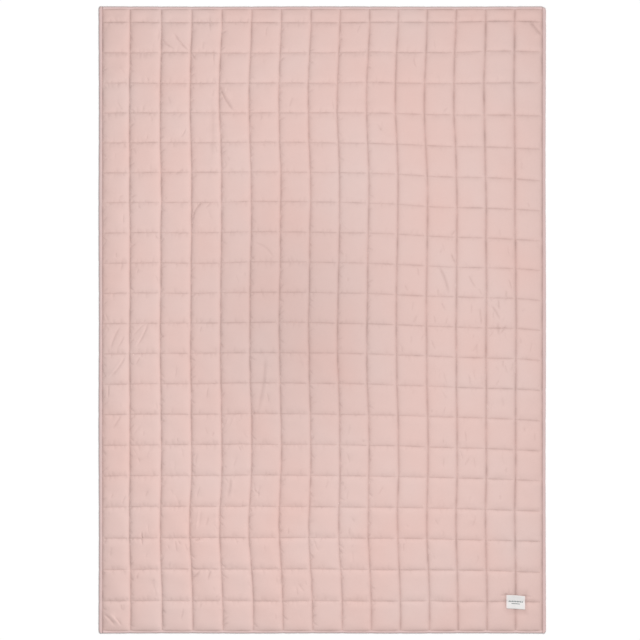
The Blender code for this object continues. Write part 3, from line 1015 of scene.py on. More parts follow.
def stripMesh(side):
    along, pull, nearest, fromEnd, closed = stripStations(side)
    width = layout["sideStrip"] if closed else layout["endStrip"]
    section = np.array(stripOutline) * mm
    rng = np.random.default_rng(binding["seed"] + list(sides).index(side))
    ripples = np.zeros((len(along), len(section)))
    for k, length in enumerate(binding["wrinkleLengths"]):
        lean = rng.uniform(-binding["wrinkleLean"], binding["wrinkleLean"])
        phase = rng.uniform(0, 2 * math.pi)
        bend = lean * section[None, :, 0]
        ripples += np.sin(2 * math.pi * (along[:, None] + bend) / length + phase) / (k + 1)
    top = smooth((section[:, 1] - binding["topStart"]) / binding["topFade"])
    inward = section[:, 0] * width / (stripWidth * mm)
    inward = pull[:, None] + inward[None] * (width - pull[:, None]) / width
    up = section[None, :, 1] + binding["wrinkle"] * ripples * top[None]
    # Each quilting seam presses the strip down a little where it runs into it
    up -= binding["seamPress"] * np.exp(-((nearest / scallop["reach"]) ** 2))[:, None] * top[None]
    if closed:
        turned = np.clip(1 - fromEnd / binding["endBlock"], 0, 1)
        squeeze = np.sqrt(1 - turned**2 * binding["endSqueeze"])
        up = binding["middle"] + (up - binding["middle"]) * squeeze[:, None]
    outer = placed(side, inward, along[:, None], up).reshape(-1, 3)
    points = [outer]
    low, high, back, middle = binding["slotLow"], binding["slotHigh"], binding["cloth"], width / 2
    mouth = (width, binding["slotMouth"])
    slot = np.array((mouth, (middle, high), (back, high), (back, low), (middle, low), (width, low)))
    fromOut = np.minimum(pull[:, None] * (1 - slot[None, :, 0] / width) + slot[None, :, 0], width)
    slotHeight = np.broadcast_to(slot[:, 1], fromOut.shape)
    points.append(placed(side, fromOut, along[:, None], slotHeight).reshape(-1, 3))
    count, wide, deep = len(along), len(section), len(slot)
    # Numbers of the points: one row of each for every station along the strip
    outerPoint = np.arange(count * wide).reshape(count, wide)
    slotPoint = count * wide + np.arange(count * deep).reshape(count, deep)
    hasSlot = fromEnd >= binding["endBlock"] - 1e-9 if closed else np.ones(count, bool)
    faces = []
    for k in range(count - 1):
        (here, after), (slotHere, slotAfter) = outerPoint[k:k + 2], slotPoint[k:k + 2]
        faces += list(zip(here, here[1:], after[1:], after))
        if hasSlot[k] and hasSlot[k + 1]:
            faces += list(zip(slotHere, slotHere[1:], slotAfter[1:], slotAfter))
            faces.append((here[-1], slotHere[0], slotAfter[0], after[-1]))
            faces.append((slotHere[-1], here[0], after[0], slotAfter[-1]))
        else:
            faces.append((here[-1], here[0], after[0], after[-1]))
    first, last = np.flatnonzero(hasSlot)[[0, -1]]
    if closed:
        faces.append((*slotPoint[first], outerPoint[first, 0], outerPoint[first, -1]))
        faces.append((*slotPoint[last, ::-1], outerPoint[last, -1], outerPoint[last, 0]))
        faces.append(tuple(outerPoint[0]))
        faces.append(tuple(outerPoint[-1, ::-1]))
    else:
        faces += [(*outerPoint[k], *slotPoint[k]) for k in (0, -1)]
    mesh = bpy.data.meshes.new("binding")
    mesh.from_pydata(np.concatenate(points).tolist(), [], [tuple(int(v) for v in f) for f in faces])
    # Flat places on the strip: along it, and round its section
    around = np.concatenate([[0], np.cumsum(np.hypot(*np.diff(section, axis=0).T))])
    flatOuter = np.stack(np.broadcast_arrays(around[None], along[:, None]), -1).reshape(-1, 2)
    flatSlot = np.stack(np.broadcast_arrays(slot[None, :, 0], along[:, None]), -1).reshape(-1, 2)
    # Distance from the inner lip, which sets the painted shade there
    fromLip = np.tile((stripWidth * mm - section[:, 0]) * sides[side]["lipShadeFade"], count)
    fromLip = np.concatenate([fromLip, np.zeros(count * deep)])
    return mesh, np.concatenate([flatOuter, flatSlot]), fromLip


def cleaned(mesh, material):
    bm = bmesh.new()
    bm.from_mesh(mesh)
    loose = [v for v in bm.verts if not v.link_faces]
    bmesh.ops.delete(bm, geom=loose, context="VERTS")
    bmesh.ops.recalc_face_normals(bm, faces=bm.faces)
    bm.to_mesh(mesh)
    bm.free()
    mesh.materials.append(material)
    mesh.shade_smooth()


def addPiece(name, mesh):
    piece = bpy.data.objects.new(name, mesh)
    bpy.context.scene.collection.objects.link(piece)
    return piece


# A small woven label, sewn on by its two folded ends
label = {
    "place": (548.8 * mm, -801.7 * mm),
    "seat": 2.4 * mm,
    "seatReach": 5.0 * mm,
    "width": 53.5 * mm,
    "depth": 38.0 * mm,
    "fall": math.radians(3.8),
    "cloth": 0.45 * mm,
    "gap": 0.35 * mm,
    "step": 1.0 * mm,
    "foldWidth": 4.2 * mm,
    "foldRise": 0.40 * mm,
    "bulge": 0.9 * mm,
    "bow": 0.7 * mm,
    "drape": 3,
    "clear": 0.05 * mm,
    "freeReach": 9.0 * mm,
    "soft": 1.2 * mm,
    "edgeRound": 0.8,
    "stitchInset": 1.4 * mm,
    "stitchLift": 0.25 * mm,
}


def labelGrid():
    sizes = (label["width"], label["depth"])
    lines = [np.linspace(-size / 2, size / 2, int(size / label["step"]) + 1) for size in sizes]
    return np.meshgrid(*lines)


def labelPlace(u, v):
    # The long edges fall to the right, and the upper edge bows up in its middle
    middle = np.cos(math.pi * u / label["width"])
    high = smooth(v / label["depth"] + 0.5)
    x = label["place"][0] + u
    y = label["place"][1] + v - u * math.tan(label["fall"]) + label["bow"] * middle * high
    return x, y


def labelHeight(tree, u, v):
    # A sheet over the swollen squares and the dip between them, always clear of both
    x, y = labelPlace(u, v)
    under = np.zeros(u.shape)
    for place in np.ndindex(u.shape):
        under[place] = surfaceBelow(tree, x[place], y[place])
    spread = under.copy()
    for _ in range(label["drape"]):
        spread = np.maximum.reduce([shifted(spread, a, b) for a in (-1, 0, 1) for b in (-1, 0, 1)])
    for _ in range(3 * label["drape"]):
        spread = sum(shifted(spread, a, b) for a in (-1, 0, 1) for b in (-1, 0, 1)) / 9
    return np.maximum(spread, under + label["clear"]) + label["gap"]


def shifted(grid, a, b):
    rows = np.clip(np.arange(grid.shape[0]) + a, 0, grid.shape[0] - 1)
    columns = np.clip(np.arange(grid.shape[1]) + b, 0, grid.shape[1] - 1)
    return grid[rows][:, columns]


def labelMesh(tree):
    u, v = labelGrid()
    base = labelHeight(tree, u, v)
    fromEnd = label["width"] / 2 - np.abs(u)
    fold = smooth((label["foldWidth"] - fromEnd) / label["soft"] + 0.5) * label["foldRise"]
    free = np.exp(-(((v - label["depth"] / 2) / label["freeReach"]) ** 2))
    lower = base + label["bulge"] * (free * np.cos(math.pi * u / label["width"]) ** 2)
    rounded = np.minimum(fromEnd, label["depth"] / 2 - np.abs(v))
    edge = np.sqrt(1 - label["edgeRound"] * (1 - np.clip(rounded / label["soft"], 0, 1)) ** 2)
    upper = lower + (label["cloth"] + fold) * edge
    x, y = labelPlace(u, v)
    rows, columns = u.shape
    number = np.arange(rows * columns).reshape(rows, columns)
    quads = quadsOf(number)
    top = np.stack([x, y, upper], -1).reshape(-1, 3)
    bottom = np.stack([x, y, lower], -1).reshape(-1, 3)
    ring = np.concatenate([number[0, :-1], number[:-1, -1], number[-1, :0:-1], number[:0:-1, 0]])
    after = np.roll(ring, -1)
    walls = np.stack([ring + len(top), after + len(top), after, ring], -1)
    faces = np.concatenate([quads, quads[:, ::-1] + len(top), walls])
    mesh = bpy.data.meshes.new("label")
    mesh.from_pydata(np.concatenate([top, bottom]).tolist(), [], faces.tolist())
    flat = np.stack([u, v], -1).reshape(-1, 2)
    rowsOfStitches = []
    for end in (0, -1):
        shift = label["stitchInset"] if end == 0 else -label["stitchInset"]
        places = labelPlace(u[:, end] + shift, v[:, end])
        rowsOfStitches.append(np.column_stack([*places, upper[:, end] + label["stitchLift"]]))
    return mesh, np.concatenate([flat, flat]), rowsOfStitches


# Stitches: one tree of nodes lays them along any row of sewing
stitchColumns = ("Pitch", "Length", "Width", "Height", "Sway")
stitchRows = {
    "seam": (3.5 * mm, 2.7 * mm, 0.55 * mm, 0.42 * mm, 0.05),
    "strip": (3.0 * mm, 2.3 * mm, 0.5 * mm, 0.4 * mm, 0.06),
    "label": (2.4 * mm, 1.8 * mm, 0.42 * mm, 0.34 * mm, 0.08),
}
seamStitches = {"rowPoint": 6.0 * mm, "endRoom": 2.0 * mm, "lift": 0.084 * mm}


def stitchTree():
    tree = bpy.data.node_groups.new("stitchRow", "GeometryNodeTree")
    sockets = tree.interface
    sockets.new_socket("Row", in_out="INPUT", socket_type="NodeSocketGeometry")
    for name in stitchColumns:
        sockets.new_socket(name, in_out="INPUT", socket_type="NodeSocketFloat")
    sockets.new_socket("Seed", in_out="INPUT", socket_type="NodeSocketInt")
    sockets.new_socket("Thread", in_out="INPUT", socket_type="NodeSocketMaterial")
    sockets.new_socket("Stitches", in_out="OUTPUT", socket_type="NodeSocketGeometry")
    given = tree.nodes.new("NodeGroupInput").outputs
    made = tree.nodes.new("NodeGroupOutput").inputs
    row = addNode(tree, "GeometryNodeMeshToCurve", {"Mesh": given["Row"]}).outputs["Curve"]
    spacing = {"Curve": row, "Length": given["Pitch"]}
    spaced = addNode(tree, "GeometryNodeResampleCurve", spacing, mode="LENGTH")
    grain = addNode(tree, "GeometryNodeMeshUVSphere", {"Segments": 4, "Rings": 3, "Radius": 0.5})
    lying = addNode(
        tree,
        "GeometryNodeTransform",
        {"Geometry": grain.outputs["Mesh"], "Rotation": (0.0, math.pi / 2, 0.0)},
    )
    size = addNode(
        tree,
        "ShaderNodeCombineXYZ",
        {"X": given["Length"], "Y": given["Width"], "Z": given["Height"]},
    )
    along = addNode(tree, "GeometryNodeInputTangent").outputs["Tangent"]
    turned = addNode(tree, "FunctionNodeAlignRotationToVector", {"Vector": along}, axis="X")
    less = addNode(tree, "ShaderNodeMath", {0: given["Sway"], 1: -1.0}, operation="MULTIPLY")
    sway = addNode(tree, "FunctionNodeRandomValue", data_type="FLOAT")
    tree.links.new(less.outputs[0], sway.inputs[2])
    tree.links.new(given["Sway"], sway.inputs[3])
    tree.links.new(given["Seed"], sway.inputs["Seed"])
    swing = addNode(tree, "ShaderNodeCombineXYZ", {"Z": sway.outputs[1]})
    turn = addNode(tree, "FunctionNodeEulerToRotation", {"Euler": swing.outputs[0]})
    facing = addNode(
        tree,
        "FunctionNodeRotateRotation",
        {"Rotation": turned.outputs["Rotation"], "Rotate By": turn.outputs["Rotation"]},
        rotation_space="LOCAL",
    )
    laid = addNode(
        tree,
        "GeometryNodeInstanceOnPoints",
        {
            "Points": spaced.outputs["Curve"],
            "Instance": lying.outputs["Geometry"],
            "Rotation": facing.outputs["Rotation"],
            "Scale": size.outputs[0],
        },
    )
    real = addNode(tree, "GeometryNodeRealizeInstances", {"Geometry": laid.outputs["Instances"]})
    threaded = addNode(
        tree,
        "GeometryNodeSetMaterial",
        {"Geometry": real.outputs["Geometry"], "Material": given["Thread"]},
    )
    tree.links.new(threaded.outputs["Geometry"], made["Stitches"])
    return tree


def sewnRows(name, tree, rows, sizes, thread, seed):
    # The rows become one mesh of real stitches, with no modifier left on it
    points, edges = [], []
    for row in rows:
        edges += [(len(points) + k, len(points) + k + 1) for k in range(len(row) - 1)]
        points += row.tolist()
    path = bpy.data.meshes.new(name + "Path")
    path.from_pydata(points, edges, [])
    guide = addPiece(name + "Path", path)
    modifier = guide.modifiers.new("Stitches", "NODES")
    modifier.node_group = tree
    values = dict(zip(stitchColumns, stitchRows[sizes]), Seed=seed, Thread=thread)
    for socket in tree.interface.items_tree:
        if socket.in_out == "INPUT" and socket.name in values:
            modifier[socket.identifier] = values[socket.name]
    graph = bpy.context.evaluated_depsgraph_get()
    mesh = bpy.data.meshes.new_from_object(guide.evaluated_get(graph), depsgraph=graph)
    bpy.data.objects.remove(guide)
    mesh.name = name
    mesh.shade_smooth()
    print(name, "triangles:", sum(len(face.vertices) - 2 for face in mesh.polygons))
    return addPiece(name, mesh)


def surfaceBelow(tree, x, y, fromAbove=True):
    # Height of a piece's top at a place, or of its underside
    start, way = (1.0, -1.0) if fromAbove else (-1.0, 1.0)
    return tree.ray_cast(Vector((x, y, start)), Vector((0, 0, way)))[0].z


def seamRows(direction, tree, fromAbove):
    # Rows of points laid on the panel's face or underside, along each of its seams
    rows = []
    upright = direction == "upright"
    reach, room = ditchY if upright else ditchX, seamStitches["endRoom"]
    along = np.linspace(-reach + room, reach - room, int(2 * reach / seamStitches["rowPoint"]))
    lift = seamStitches["lift"] if fromAbove else -seamStitches["lift"]
    for place in (uprights if upright else crosses)[1:-1]:
        across = np.full(len(along), place)
        laid = sewn(across, along) if upright else sewn(along, across)
        row = np.column_stack([*laid, np.zeros(len(along))])
        for point in row:
            point[2] = surfaceBelow(tree, point[0], point[1], fromAbove) + lift
        rows.append(row)
    return rows


def stripRows(strips, under):
    # One row along each strip, laid on its top or in the groove below it
    rows = []
    graph = bpy.context.evaluated_depsgraph_get()
    for side, strip in strips.items():
        along, _, _, fromEnd, closed = stripStations(side)
        width = layout["sideStrip"] if closed else layout["endStrip"]
        kept = along[fromEnd > binding["stitchRoom"]]
        inward = np.full(len(kept), width - binding["stitchInset"])
        row = placed(side, inward, kept, binding["underStitch"])
        if not under:
            tree = BVHTree.FromObject(strip, graph)
            for point in row:
                point[2] = surfaceBelow(tree, point[0], point[1]) + binding["stitchLift"]
        rows.append(row)
    return rows


def addNode(tree, kind, inputs=None, **settings):
    node = tree.nodes.new(kind)
    for name, value in settings.items():
        setattr(node, name, value)
    for name, value in (inputs or {}).items():
        if isinstance(value, bpy.types.NodeSocket):
            tree.links.new(value, node.inputs[name])
        else:
            node.inputs[name].default_value = value
    return node


def calculated(tree, operation, *values):
    node = addNode(tree, "ShaderNodeMath", dict(enumerate(values)), operation=operation)
    return node.outputs[0]


def mixedColour(tree, share, *colours):
    mixed = addNode(tree, "ShaderNodeMix", data_type="RGBA")
    sockets = {socket.identifier: socket for socket in mixed.inputs}
    tree.links.new(share, sockets["Factor_Float"])
    for name, colour in zip(("A_Color", "B_Color"), colours):
        if isinstance(colour, bpy.types.NodeSocket):
            tree.links.new(colour, sockets[name])
        else:
            sockets[name].default_value = (*colour, 1.0)
    return next(socket for socket in mixed.outputs if socket.identifier == "Result_Color")


def shaderGroup(name, inputs, outputs):
    tree = bpy.data.node_groups.new(name, "ShaderNodeTree")
    for way, sockets in (("INPUT", inputs), ("OUTPUT", outputs)):
        for socketName, kind in sockets:
            tree.interface.new_socket(socketName, in_out=way, socket_type="NodeSocket" + kind)
    return tree, tree.nodes.new("NodeGroupInput").outputs, tree.nodes.new("NodeGroupOutput").inputs


def stretchedNoise(tree, vector, scale, detail=2.0, shift=0.0):
    # Noise with so many grains a metre each way
    moved = addNode(
        tree,
        "ShaderNodeMapping",
        {"Vector": vector, "Location": (shift, shift, 0.0), "Scale": (*scale, 1.0)},
    )
    noise = {"Vector": moved.outputs[0], "Scale": 1.0, "Detail": detail}
    return addNode(tree, "ShaderNodeTexNoise", noise).outputs["Fac"]


# Plain weave: a thread's roundness, the share of its height left where it dips under the next, its
# least thickness, how far the noise of the next thread lies, and how fast its own changes lengthwise
weaving = {"roundness": 0.8, "lowest": 0.45, "thinnest": 0.6, "apart": 7.3, "drift": 0.035}


def weaveGroup():
    # Threads of both ways pass over each other by turns, some thicker than others
    tree, given, made = shaderGroup(
        "cottonWeave",
        (("Cloth", "Vector"), ("Pitch", "Float"), ("Slub", "Float")),
        (("Height", "Float"), ("Tone", "Float")),
    )
    finer = calculated(tree, "DIVIDE", 1.0, given["Pitch"])
    threads = addNode(tree, "ShaderNodeVectorMath", {0: given["Cloth"]}, operation="SCALE")
    tree.links.new(finer, threads.inputs["Scale"])
    parts = addNode(tree, "ShaderNodeSeparateXYZ", {0: threads.outputs[0]}).outputs
    waves, cells, thick = [], [], []
    for axis, other in ((0, 1), (1, 0)):
        turn = calculated(tree, "MULTIPLY", parts[axis], math.pi)
        waves.append(calculated(tree, "ABSOLUTE", calculated(tree, "SINE", turn)))
        cells.append(calculated(tree, "FLOOR", parts[axis]))
        spread = calculated(tree, "MULTIPLY", cells[-1], weaving["apart"])
        slow = calculated(tree, "MULTIPLY", parts[other], weaving["drift"])
        place = addNode(tree, "ShaderNodeCombineXYZ", {0: spread, 1: slow, 2: float(axis)}).outputs[0]
        noise = addNode(tree, "ShaderNodeTexNoise", {"Vector": place, "Scale": 1.0, "Detail": 1.0})
        thick.append(noise.outputs["Fac"])
    parity = calculated(tree, "MODULO", calculated(tree, "ADD", *cells), 2.0)
    parity = calculated(tree, "ABSOLUTE", parity)
    overs = []
    for axis, other in ((0, 1), (1, 0)):
        over = calculated(tree, "POWER", waves[axis], weaving["roundness"])
        low = weaving["lowest"]
        along = calculated(tree, "MULTIPLY_ADD", waves[other], 1 - low, low)
        swell = calculated(tree, "MULTIPLY_ADD", thick[axis], given["Slub"], weaving["thinnest"])
        overs.append(calculated(tree, "MULTIPLY", calculated(tree, "MULTIPLY", over, along), swell))
    mixed = addNode(tree, "ShaderNodeMix", data_type="FLOAT")
    for name, value in (("Factor_Float", parity), ("A_Float", overs[0]), ("B_Float", overs[1])):
        socket = next(s for s in mixed.inputs if s.identifier == name)
        tree.links.new(value, socket)
    height = next(s for s in mixed.outputs if s.identifier == "Result_Float")
    tree.links.new(height, made["Height"])
    tree.links.new(calculated(tree, "MULTIPLY", *thick), made["Tone"])
    return tree


# Fine gathers: the seams they run out of, their reach in millimetres, their grains a metre each way
# and a shift of their pattern
gathers = {
    "rows": (
        ("From Cross", 6.0, (190.0, 38.0), 3.0),
        ("From Upright", 5.0, (38.0, 160.0), 9.0),
    ),
    "start": 1.5,
    "softGrains": (60.0, 55.0),
    "softShift": 17.0,
    "softShare": 0.35,
}


def creaseGroup():
    # Gathers out of the seams, and soft unevenness all over
    tree, given, made = shaderGroup(
        "fineCreases",
        (("Cloth", "Vector"), ("From Upright", "Float"), ("From Cross", "Float")),
        (("Height", "Float"),),
    )
    total = None
    for distance, reach, grains, shift in gathers["rows"]:
        noise = stretchedNoise(tree, given["Cloth"], grains, 1.5, shift)
        fade = calculated(tree, "EXPONENT", calculated(tree, "DIVIDE", given[distance], -reach))
        start = calculated(tree, "DIVIDE", given[distance], gathers["start"])
        start = calculated(tree, "MINIMUM", start, 1.0)
        part = calculated(tree, "MULTIPLY", calculated(tree, "MULTIPLY", noise, fade), start)
        total = part if total is None else calculated(tree, "ADD", total, part)
    soft = stretchedNoise(tree, given["Cloth"], gathers["softGrains"], 3.0, gathers["softShift"])
    total = calculated(tree, "MULTIPLY_ADD", soft, gathers["softShare"], total)
    tree.links.new(total, made["Height"])
    return tree


# Dye: grains a metre of its wide clouds, small clouds and flecks, its least saturation and how far
# that deepens in the painted seam shade and the wide clouds, and its least roughness and how far that
# goes up
dyeing = {
    "wide": (5.0, 4.0),
    "small": (45.0, 38.0),
    "fleck": (700.0, 900.0),
    "saturation": 0.8,
    "saturatedInPaintedShade": 0.3,
    "deeperInClouds": 0.4,
    "roughness": 0.84,
    "roughnessSwing": 0.1,
}


def toneGroup():
    # Colour of dyed cotton: cloudy over the whole cloth, flecked by thread, with painted shade in the
    # seams, the folds and the middle
    tree, given, made = shaderGroup(
        "clothTone",
        (
            ("Cloth", "Vector"),
            ("Dye", "Color"),
            ("Cloud", "Float"),
            ("Fleck", "Float"),
            ("Seam", "Float"),
            ("Painted Middle Shade", "Float"),
        ),
        (("Color", "Color"), ("Roughness", "Float")),
    )
    wide = stretchedNoise(tree, given["Cloth"], dyeing["wide"], 2.0, 2.0)
    small = stretchedNoise(tree, given["Cloth"], dyeing["small"], 3.0, 5.0)
    fine = stretchedNoise(tree, given["Cloth"], dyeing["fleck"], 2.0, 8.0)
    cloud = calculated(tree, "SUBTRACT", calculated(tree, "ADD", wide, small), 1.0)
    cloud = calculated(tree, "MULTIPLY", cloud, given["Cloud"])
    fleck = calculated(tree, "MULTIPLY", calculated(tree, "SUBTRACT", fine, 0.5), given["Fleck"])
    light = calculated(tree, "ADD", calculated(tree, "ADD", cloud, fleck), 1.0)
    # Painted shade in the seams and folds darkens the cloth
    light = calculated(tree, "SUBTRACT", light, given["Seam"])
    # Painted shade, darkest in the middle of the cloth
    paintedDarker = calculated(tree, "MULTIPLY", paintedShadePlaces(tree, given["Cloth"]), given["Painted Middle Shade"])
    light = calculated(tree, "SUBTRACT", light, paintedDarker)
    colour = addNode(tree, "ShaderNodeHueSaturation", {"Hue": 0.5, "Color": given["Dye"]})
    tree.links.new(light, colour.inputs["Value"])
    least = dyeing["saturation"]
    # The painted shade in the seams and folds is also more saturated
    deeper = calculated(tree, "MULTIPLY_ADD", given["Seam"], dyeing["saturatedInPaintedShade"], least)
    deeper = calculated(tree, "MULTIPLY_ADD", wide, dyeing["deeperInClouds"], deeper)
    tree.links.new(deeper, colour.inputs["Saturation"])
    tree.links.new(colour.outputs[0], made["Color"])
    rough = calculated(tree, "MULTIPLY_ADD", small, dyeing["roughnessSwing"], dyeing["roughness"])
    tree.links.new(rough, made["Roughness"])
    return tree


# Where the cloth is painted darker, in shares of the half width and half length
paintedShadePlacing = {"middle": (-0.12, -0.02), "reach": (0.44, 0.38), "hems": 0.45}


def paintedShadePlaces(tree, cloth):
    # 1 in the middle of the cloth, a painted shade there, and a little darker towards the hems
    parts = addNode(tree, "ShaderNodeSeparateXYZ", {0: cloth}).outputs
    offs, hems = [], []
    for axis, half in ((0, halfWidth), (1, halfLength)):
        share = calculated(tree, "DIVIDE", parts[axis], half)
        off = calculated(tree, "SUBTRACT", share, paintedShadePlacing["middle"][axis])
        off = calculated(tree, "DIVIDE", off, paintedShadePlacing["reach"][axis])
        offs.append(calculated(tree, "MULTIPLY", off, off))
        hems.append(calculated(tree, "POWER", calculated(tree, "ABSOLUTE", share), 4.0))
    middle = calculated(tree, "MULTIPLY", calculated(tree, "ADD", *offs), -1.0)
    hem = calculated(tree, "MULTIPLY", calculated(tree, "ADD", *hems), paintedShadePlacing["hems"])
    return calculated(tree, "ADD", calculated(tree, "EXPONENT", middle), hem)


# Finishes
fibre = {"specular": 0.25, "sheenRoughness": 0.45}
cottonCloth = {"roughness": 0.9, "sheen": 0.12, "slub": 0.8, "crease": 0.35 * mm}
# Painted seam shade: how it thins out left of the upright seams and how it swings along them
seamShadePainting = {"leftOpen": 0.8, "patches": (24.0, 20.0), "swing": 2.6, "base": -0.3, "least": 0.15}
cottons = {
    "quilt": {
        "dye": (0.739, 0.531, 0.491),
        "cloud": 0.03,
        "fleck": 0.05,
        "paintedMiddleShade": 0.10,
        "pitch": 0.42 * mm,
        "weave": 0.05 * mm,
        # The painted seam shade spreads wider on the right and deepens towards the sides
        "widerRight": 0.45,
        "deeperSides": 0.16,
        "uprightReach": 2.2,
        "uprightShade": 0.20,
        "crossReach": 1.8,
        "crossShade": 0.14,
        "foldShade": 0.07,
    },
    "binding": {
        "dye": (0.668, 0.496, 0.478),
        "cloud": 0.03,
        "fleck": 0.05,
        "paintedMiddleShade": 0.0,
        "pitch": 0.42 * mm,
        "weave": 0.05 * mm,
        "widerRight": 0.0,
        "deeperSides": 0.0,
        "uprightReach": 3.4,
        "uprightShade": 0.15,
        "crossReach": 1.8,
        "crossShade": 0.0,
        "foldShade": 0.0,
    },
    "thread": {
        "dye": (0.690, 0.480, 0.440),
        "roughness": 0.6,
        "sheen": 0.1,
        "plies": 2600.0,
        "ply": 0.06 * mm,
        "darkest": 0.9,
        "swing": 0.2,
    },
    "label": {
        "dye": (0.755, 0.735, 0.725),
        "ends": (0.800, 0.725, 0.715),
        "mark": (0.16, 0.19, 0.19),
        "roughness": 0.7,
        "sheen": 0.05,
        "pitch": 0.3 * mm,
        "weave": 0.035 * mm,
        "slub": 0.3,
        "darkest": 0.96,
        "swing": 0.12,
        "smoothest": 0.62,
        "roughnessSwing": 0.15,
        "raised": 0.8,
        "end": 3.6 * mm,
        "diamond": 2.3 * mm,
        "diamondsUp": 1.6 * mm,
        "diamondsReach": 20.6 * mm,
        "rule": 0.9 * mm,
        "ruleDown": 4.6 * mm,
        "ruleReach": 12.0 * mm,
    },
}


def newMaterial(name, roughness, sheen):
    material = bpy.data.materials.new(name)
    material.use_nodes = True
    tree = material.node_tree
    shader = tree.nodes["Principled BSDF"]
    shader.inputs["Roughness"].default_value = roughness
    shader.inputs["Specular IOR Level"].default_value = fibre["specular"]
    shader.inputs["Sheen Weight"].default_value = sheen
    shader.inputs["Sheen Roughness"].default_value = fibre["sheenRoughness"]
    return material, tree, shader


def bumped(tree, shader, layers):
    # Layers are (height, depth in metres), laid over each other
    normal = None
    for height, depth in layers:
        bump = addNode(tree, "ShaderNodeBump", {"Height": height, "Distance": depth, "Strength": 1.0})
        if normal is not None:
            tree.links.new(normal, bump.inputs["Normal"])
        normal = bump.outputs["Normal"]
    tree.links.new(normal, shader.inputs["Normal"])


def cottonMaterial(name, finish, groups):
    facts = cottons[finish]
    material, tree, shader = newMaterial(name, cottonCloth["roughness"], cottonCloth["sheen"])
    cloth = addNode(tree, "ShaderNodeUVMap", uv_map="clothUV").outputs["UV"]
    weave = addNode(tree, "ShaderNodeGroup", node_tree=groups["weave"])
    tree.links.new(cloth, weave.inputs["Cloth"])
    weave.inputs["Pitch"].default_value = facts["pitch"]
    weave.inputs["Slub"].default_value = cottonCloth["slub"]
    found = {}
    for attribute in ("fromUpright", "fromCross", "openGap", "pressed"):
        found[attribute] = addNode(tree, "ShaderNodeAttribute", attribute_name=attribute).outputs["Fac"]
    crease = addNode(tree, "ShaderNodeGroup", node_tree=groups["crease"])
    tree.links.new(cloth, crease.inputs["Cloth"])
    tree.links.new(found["fromUpright"], crease.inputs["From Upright"])
    tree.links.new(found["fromCross"], crease.inputs["From Cross"])
    tone = addNode(tree, "ShaderNodeGroup", node_tree=groups["tone"])
    tree.links.new(cloth, tone.inputs["Cloth"])
    tone.inputs["Dye"].default_value = (*facts["dye"], 1.0)
    tone.inputs["Cloud"].default_value = facts["cloud"]
    tone.inputs["Fleck"].default_value = facts["fleck"]
    tone.inputs["Painted Middle Shade"].default_value = facts["paintedMiddleShade"]
    tree.links.new(paintedSeamShade(tree, cloth, found, facts), tone.inputs["Seam"])
    tree.links.new(tone.outputs["Color"], shader.inputs["Base Color"])
    tree.links.new(tone.outputs["Roughness"], shader.inputs["Roughness"])
    folds = (crease.outputs["Height"], cottonCloth["crease"])
    threads = (weave.outputs["Height"], facts["weave"])
    bumped(tree, shader, [folds, threads])
    return material


def paintedSeamShade(tree, cloth, found, facts):
    # Painted shade in the seams, uneven along them, and in the folds
    shades = []
    place = addNode(tree, "ShaderNodeSeparateXYZ", {0: cloth}).outputs[0]
    place = calculated(tree, "DIVIDE", place, halfWidth)
    rightward = calculated(tree, "MAXIMUM", place, 0.0)
    rightward = calculated(tree, "MULTIPLY_ADD", rightward, facts["widerRight"], 1.0)
    outward = calculated(tree, "ABSOLUTE", place)
    outward = calculated(tree, "MULTIPLY_ADD", outward, facts["deeperSides"], 1.0)
    for attribute, reach, depth in (
        ("fromUpright", facts["uprightReach"], facts["uprightShade"]),
        ("fromCross", facts["crossReach"], facts["crossShade"]),
    ):
        wider = calculated(tree, "MULTIPLY", rightward, -reach)
        near = calculated(tree, "EXPONENT", calculated(tree, "DIVIDE", found[attribute], wider))
        near = calculated(tree, "MULTIPLY", near, depth)
        shades.append(calculated(tree, "MULTIPLY", near, outward))
    # The painted shade of a cross seam thins out on the left of each upright seam
    kept = calculated(tree, "MULTIPLY_ADD", found["openGap"], -seamShadePainting["leftOpen"], 1.0)
    shades[1] = calculated(tree, "MULTIPLY", shades[1], kept)
    uneven = stretchedNoise(tree, cloth, seamShadePainting["patches"], 1.5, 31.0)
    uneven = calculated(tree, "MULTIPLY_ADD", uneven, seamShadePainting["swing"], seamShadePainting["base"])
    uneven = calculated(tree, "MAXIMUM", uneven, seamShadePainting["least"])
    seam = calculated(tree, "MULTIPLY", calculated(tree, "MAXIMUM", *shades), uneven)
    # Painted shade in the folds and round the label, by how deep the cloth is pressed in
    return calculated(tree, "MULTIPLY_ADD", found["pressed"], facts["foldShade"], seam)


def threadMaterial():
    facts = cottons["thread"]
    material, tree, shader = newMaterial("sewingThread", facts["roughness"], facts["sheen"])
    place = addNode(tree, "ShaderNodeTexCoord").outputs["Object"]
    noise = {"Vector": place, "Scale": facts["plies"], "Detail": 1.0}
    noise = addNode(tree, "ShaderNodeTexNoise", noise).outputs["Fac"]
    colour = addNode(tree, "ShaderNodeHueSaturation", {"Color": (*facts["dye"], 1.0)})
    light = calculated(tree, "MULTIPLY_ADD", noise, facts["swing"], facts["darkest"])
    tree.links.new(light, colour.inputs["Value"])
    tree.links.new(colour.outputs[0], shader.inputs["Base Color"])
    bumped(tree, shader, [(noise, facts["ply"])])
    return material


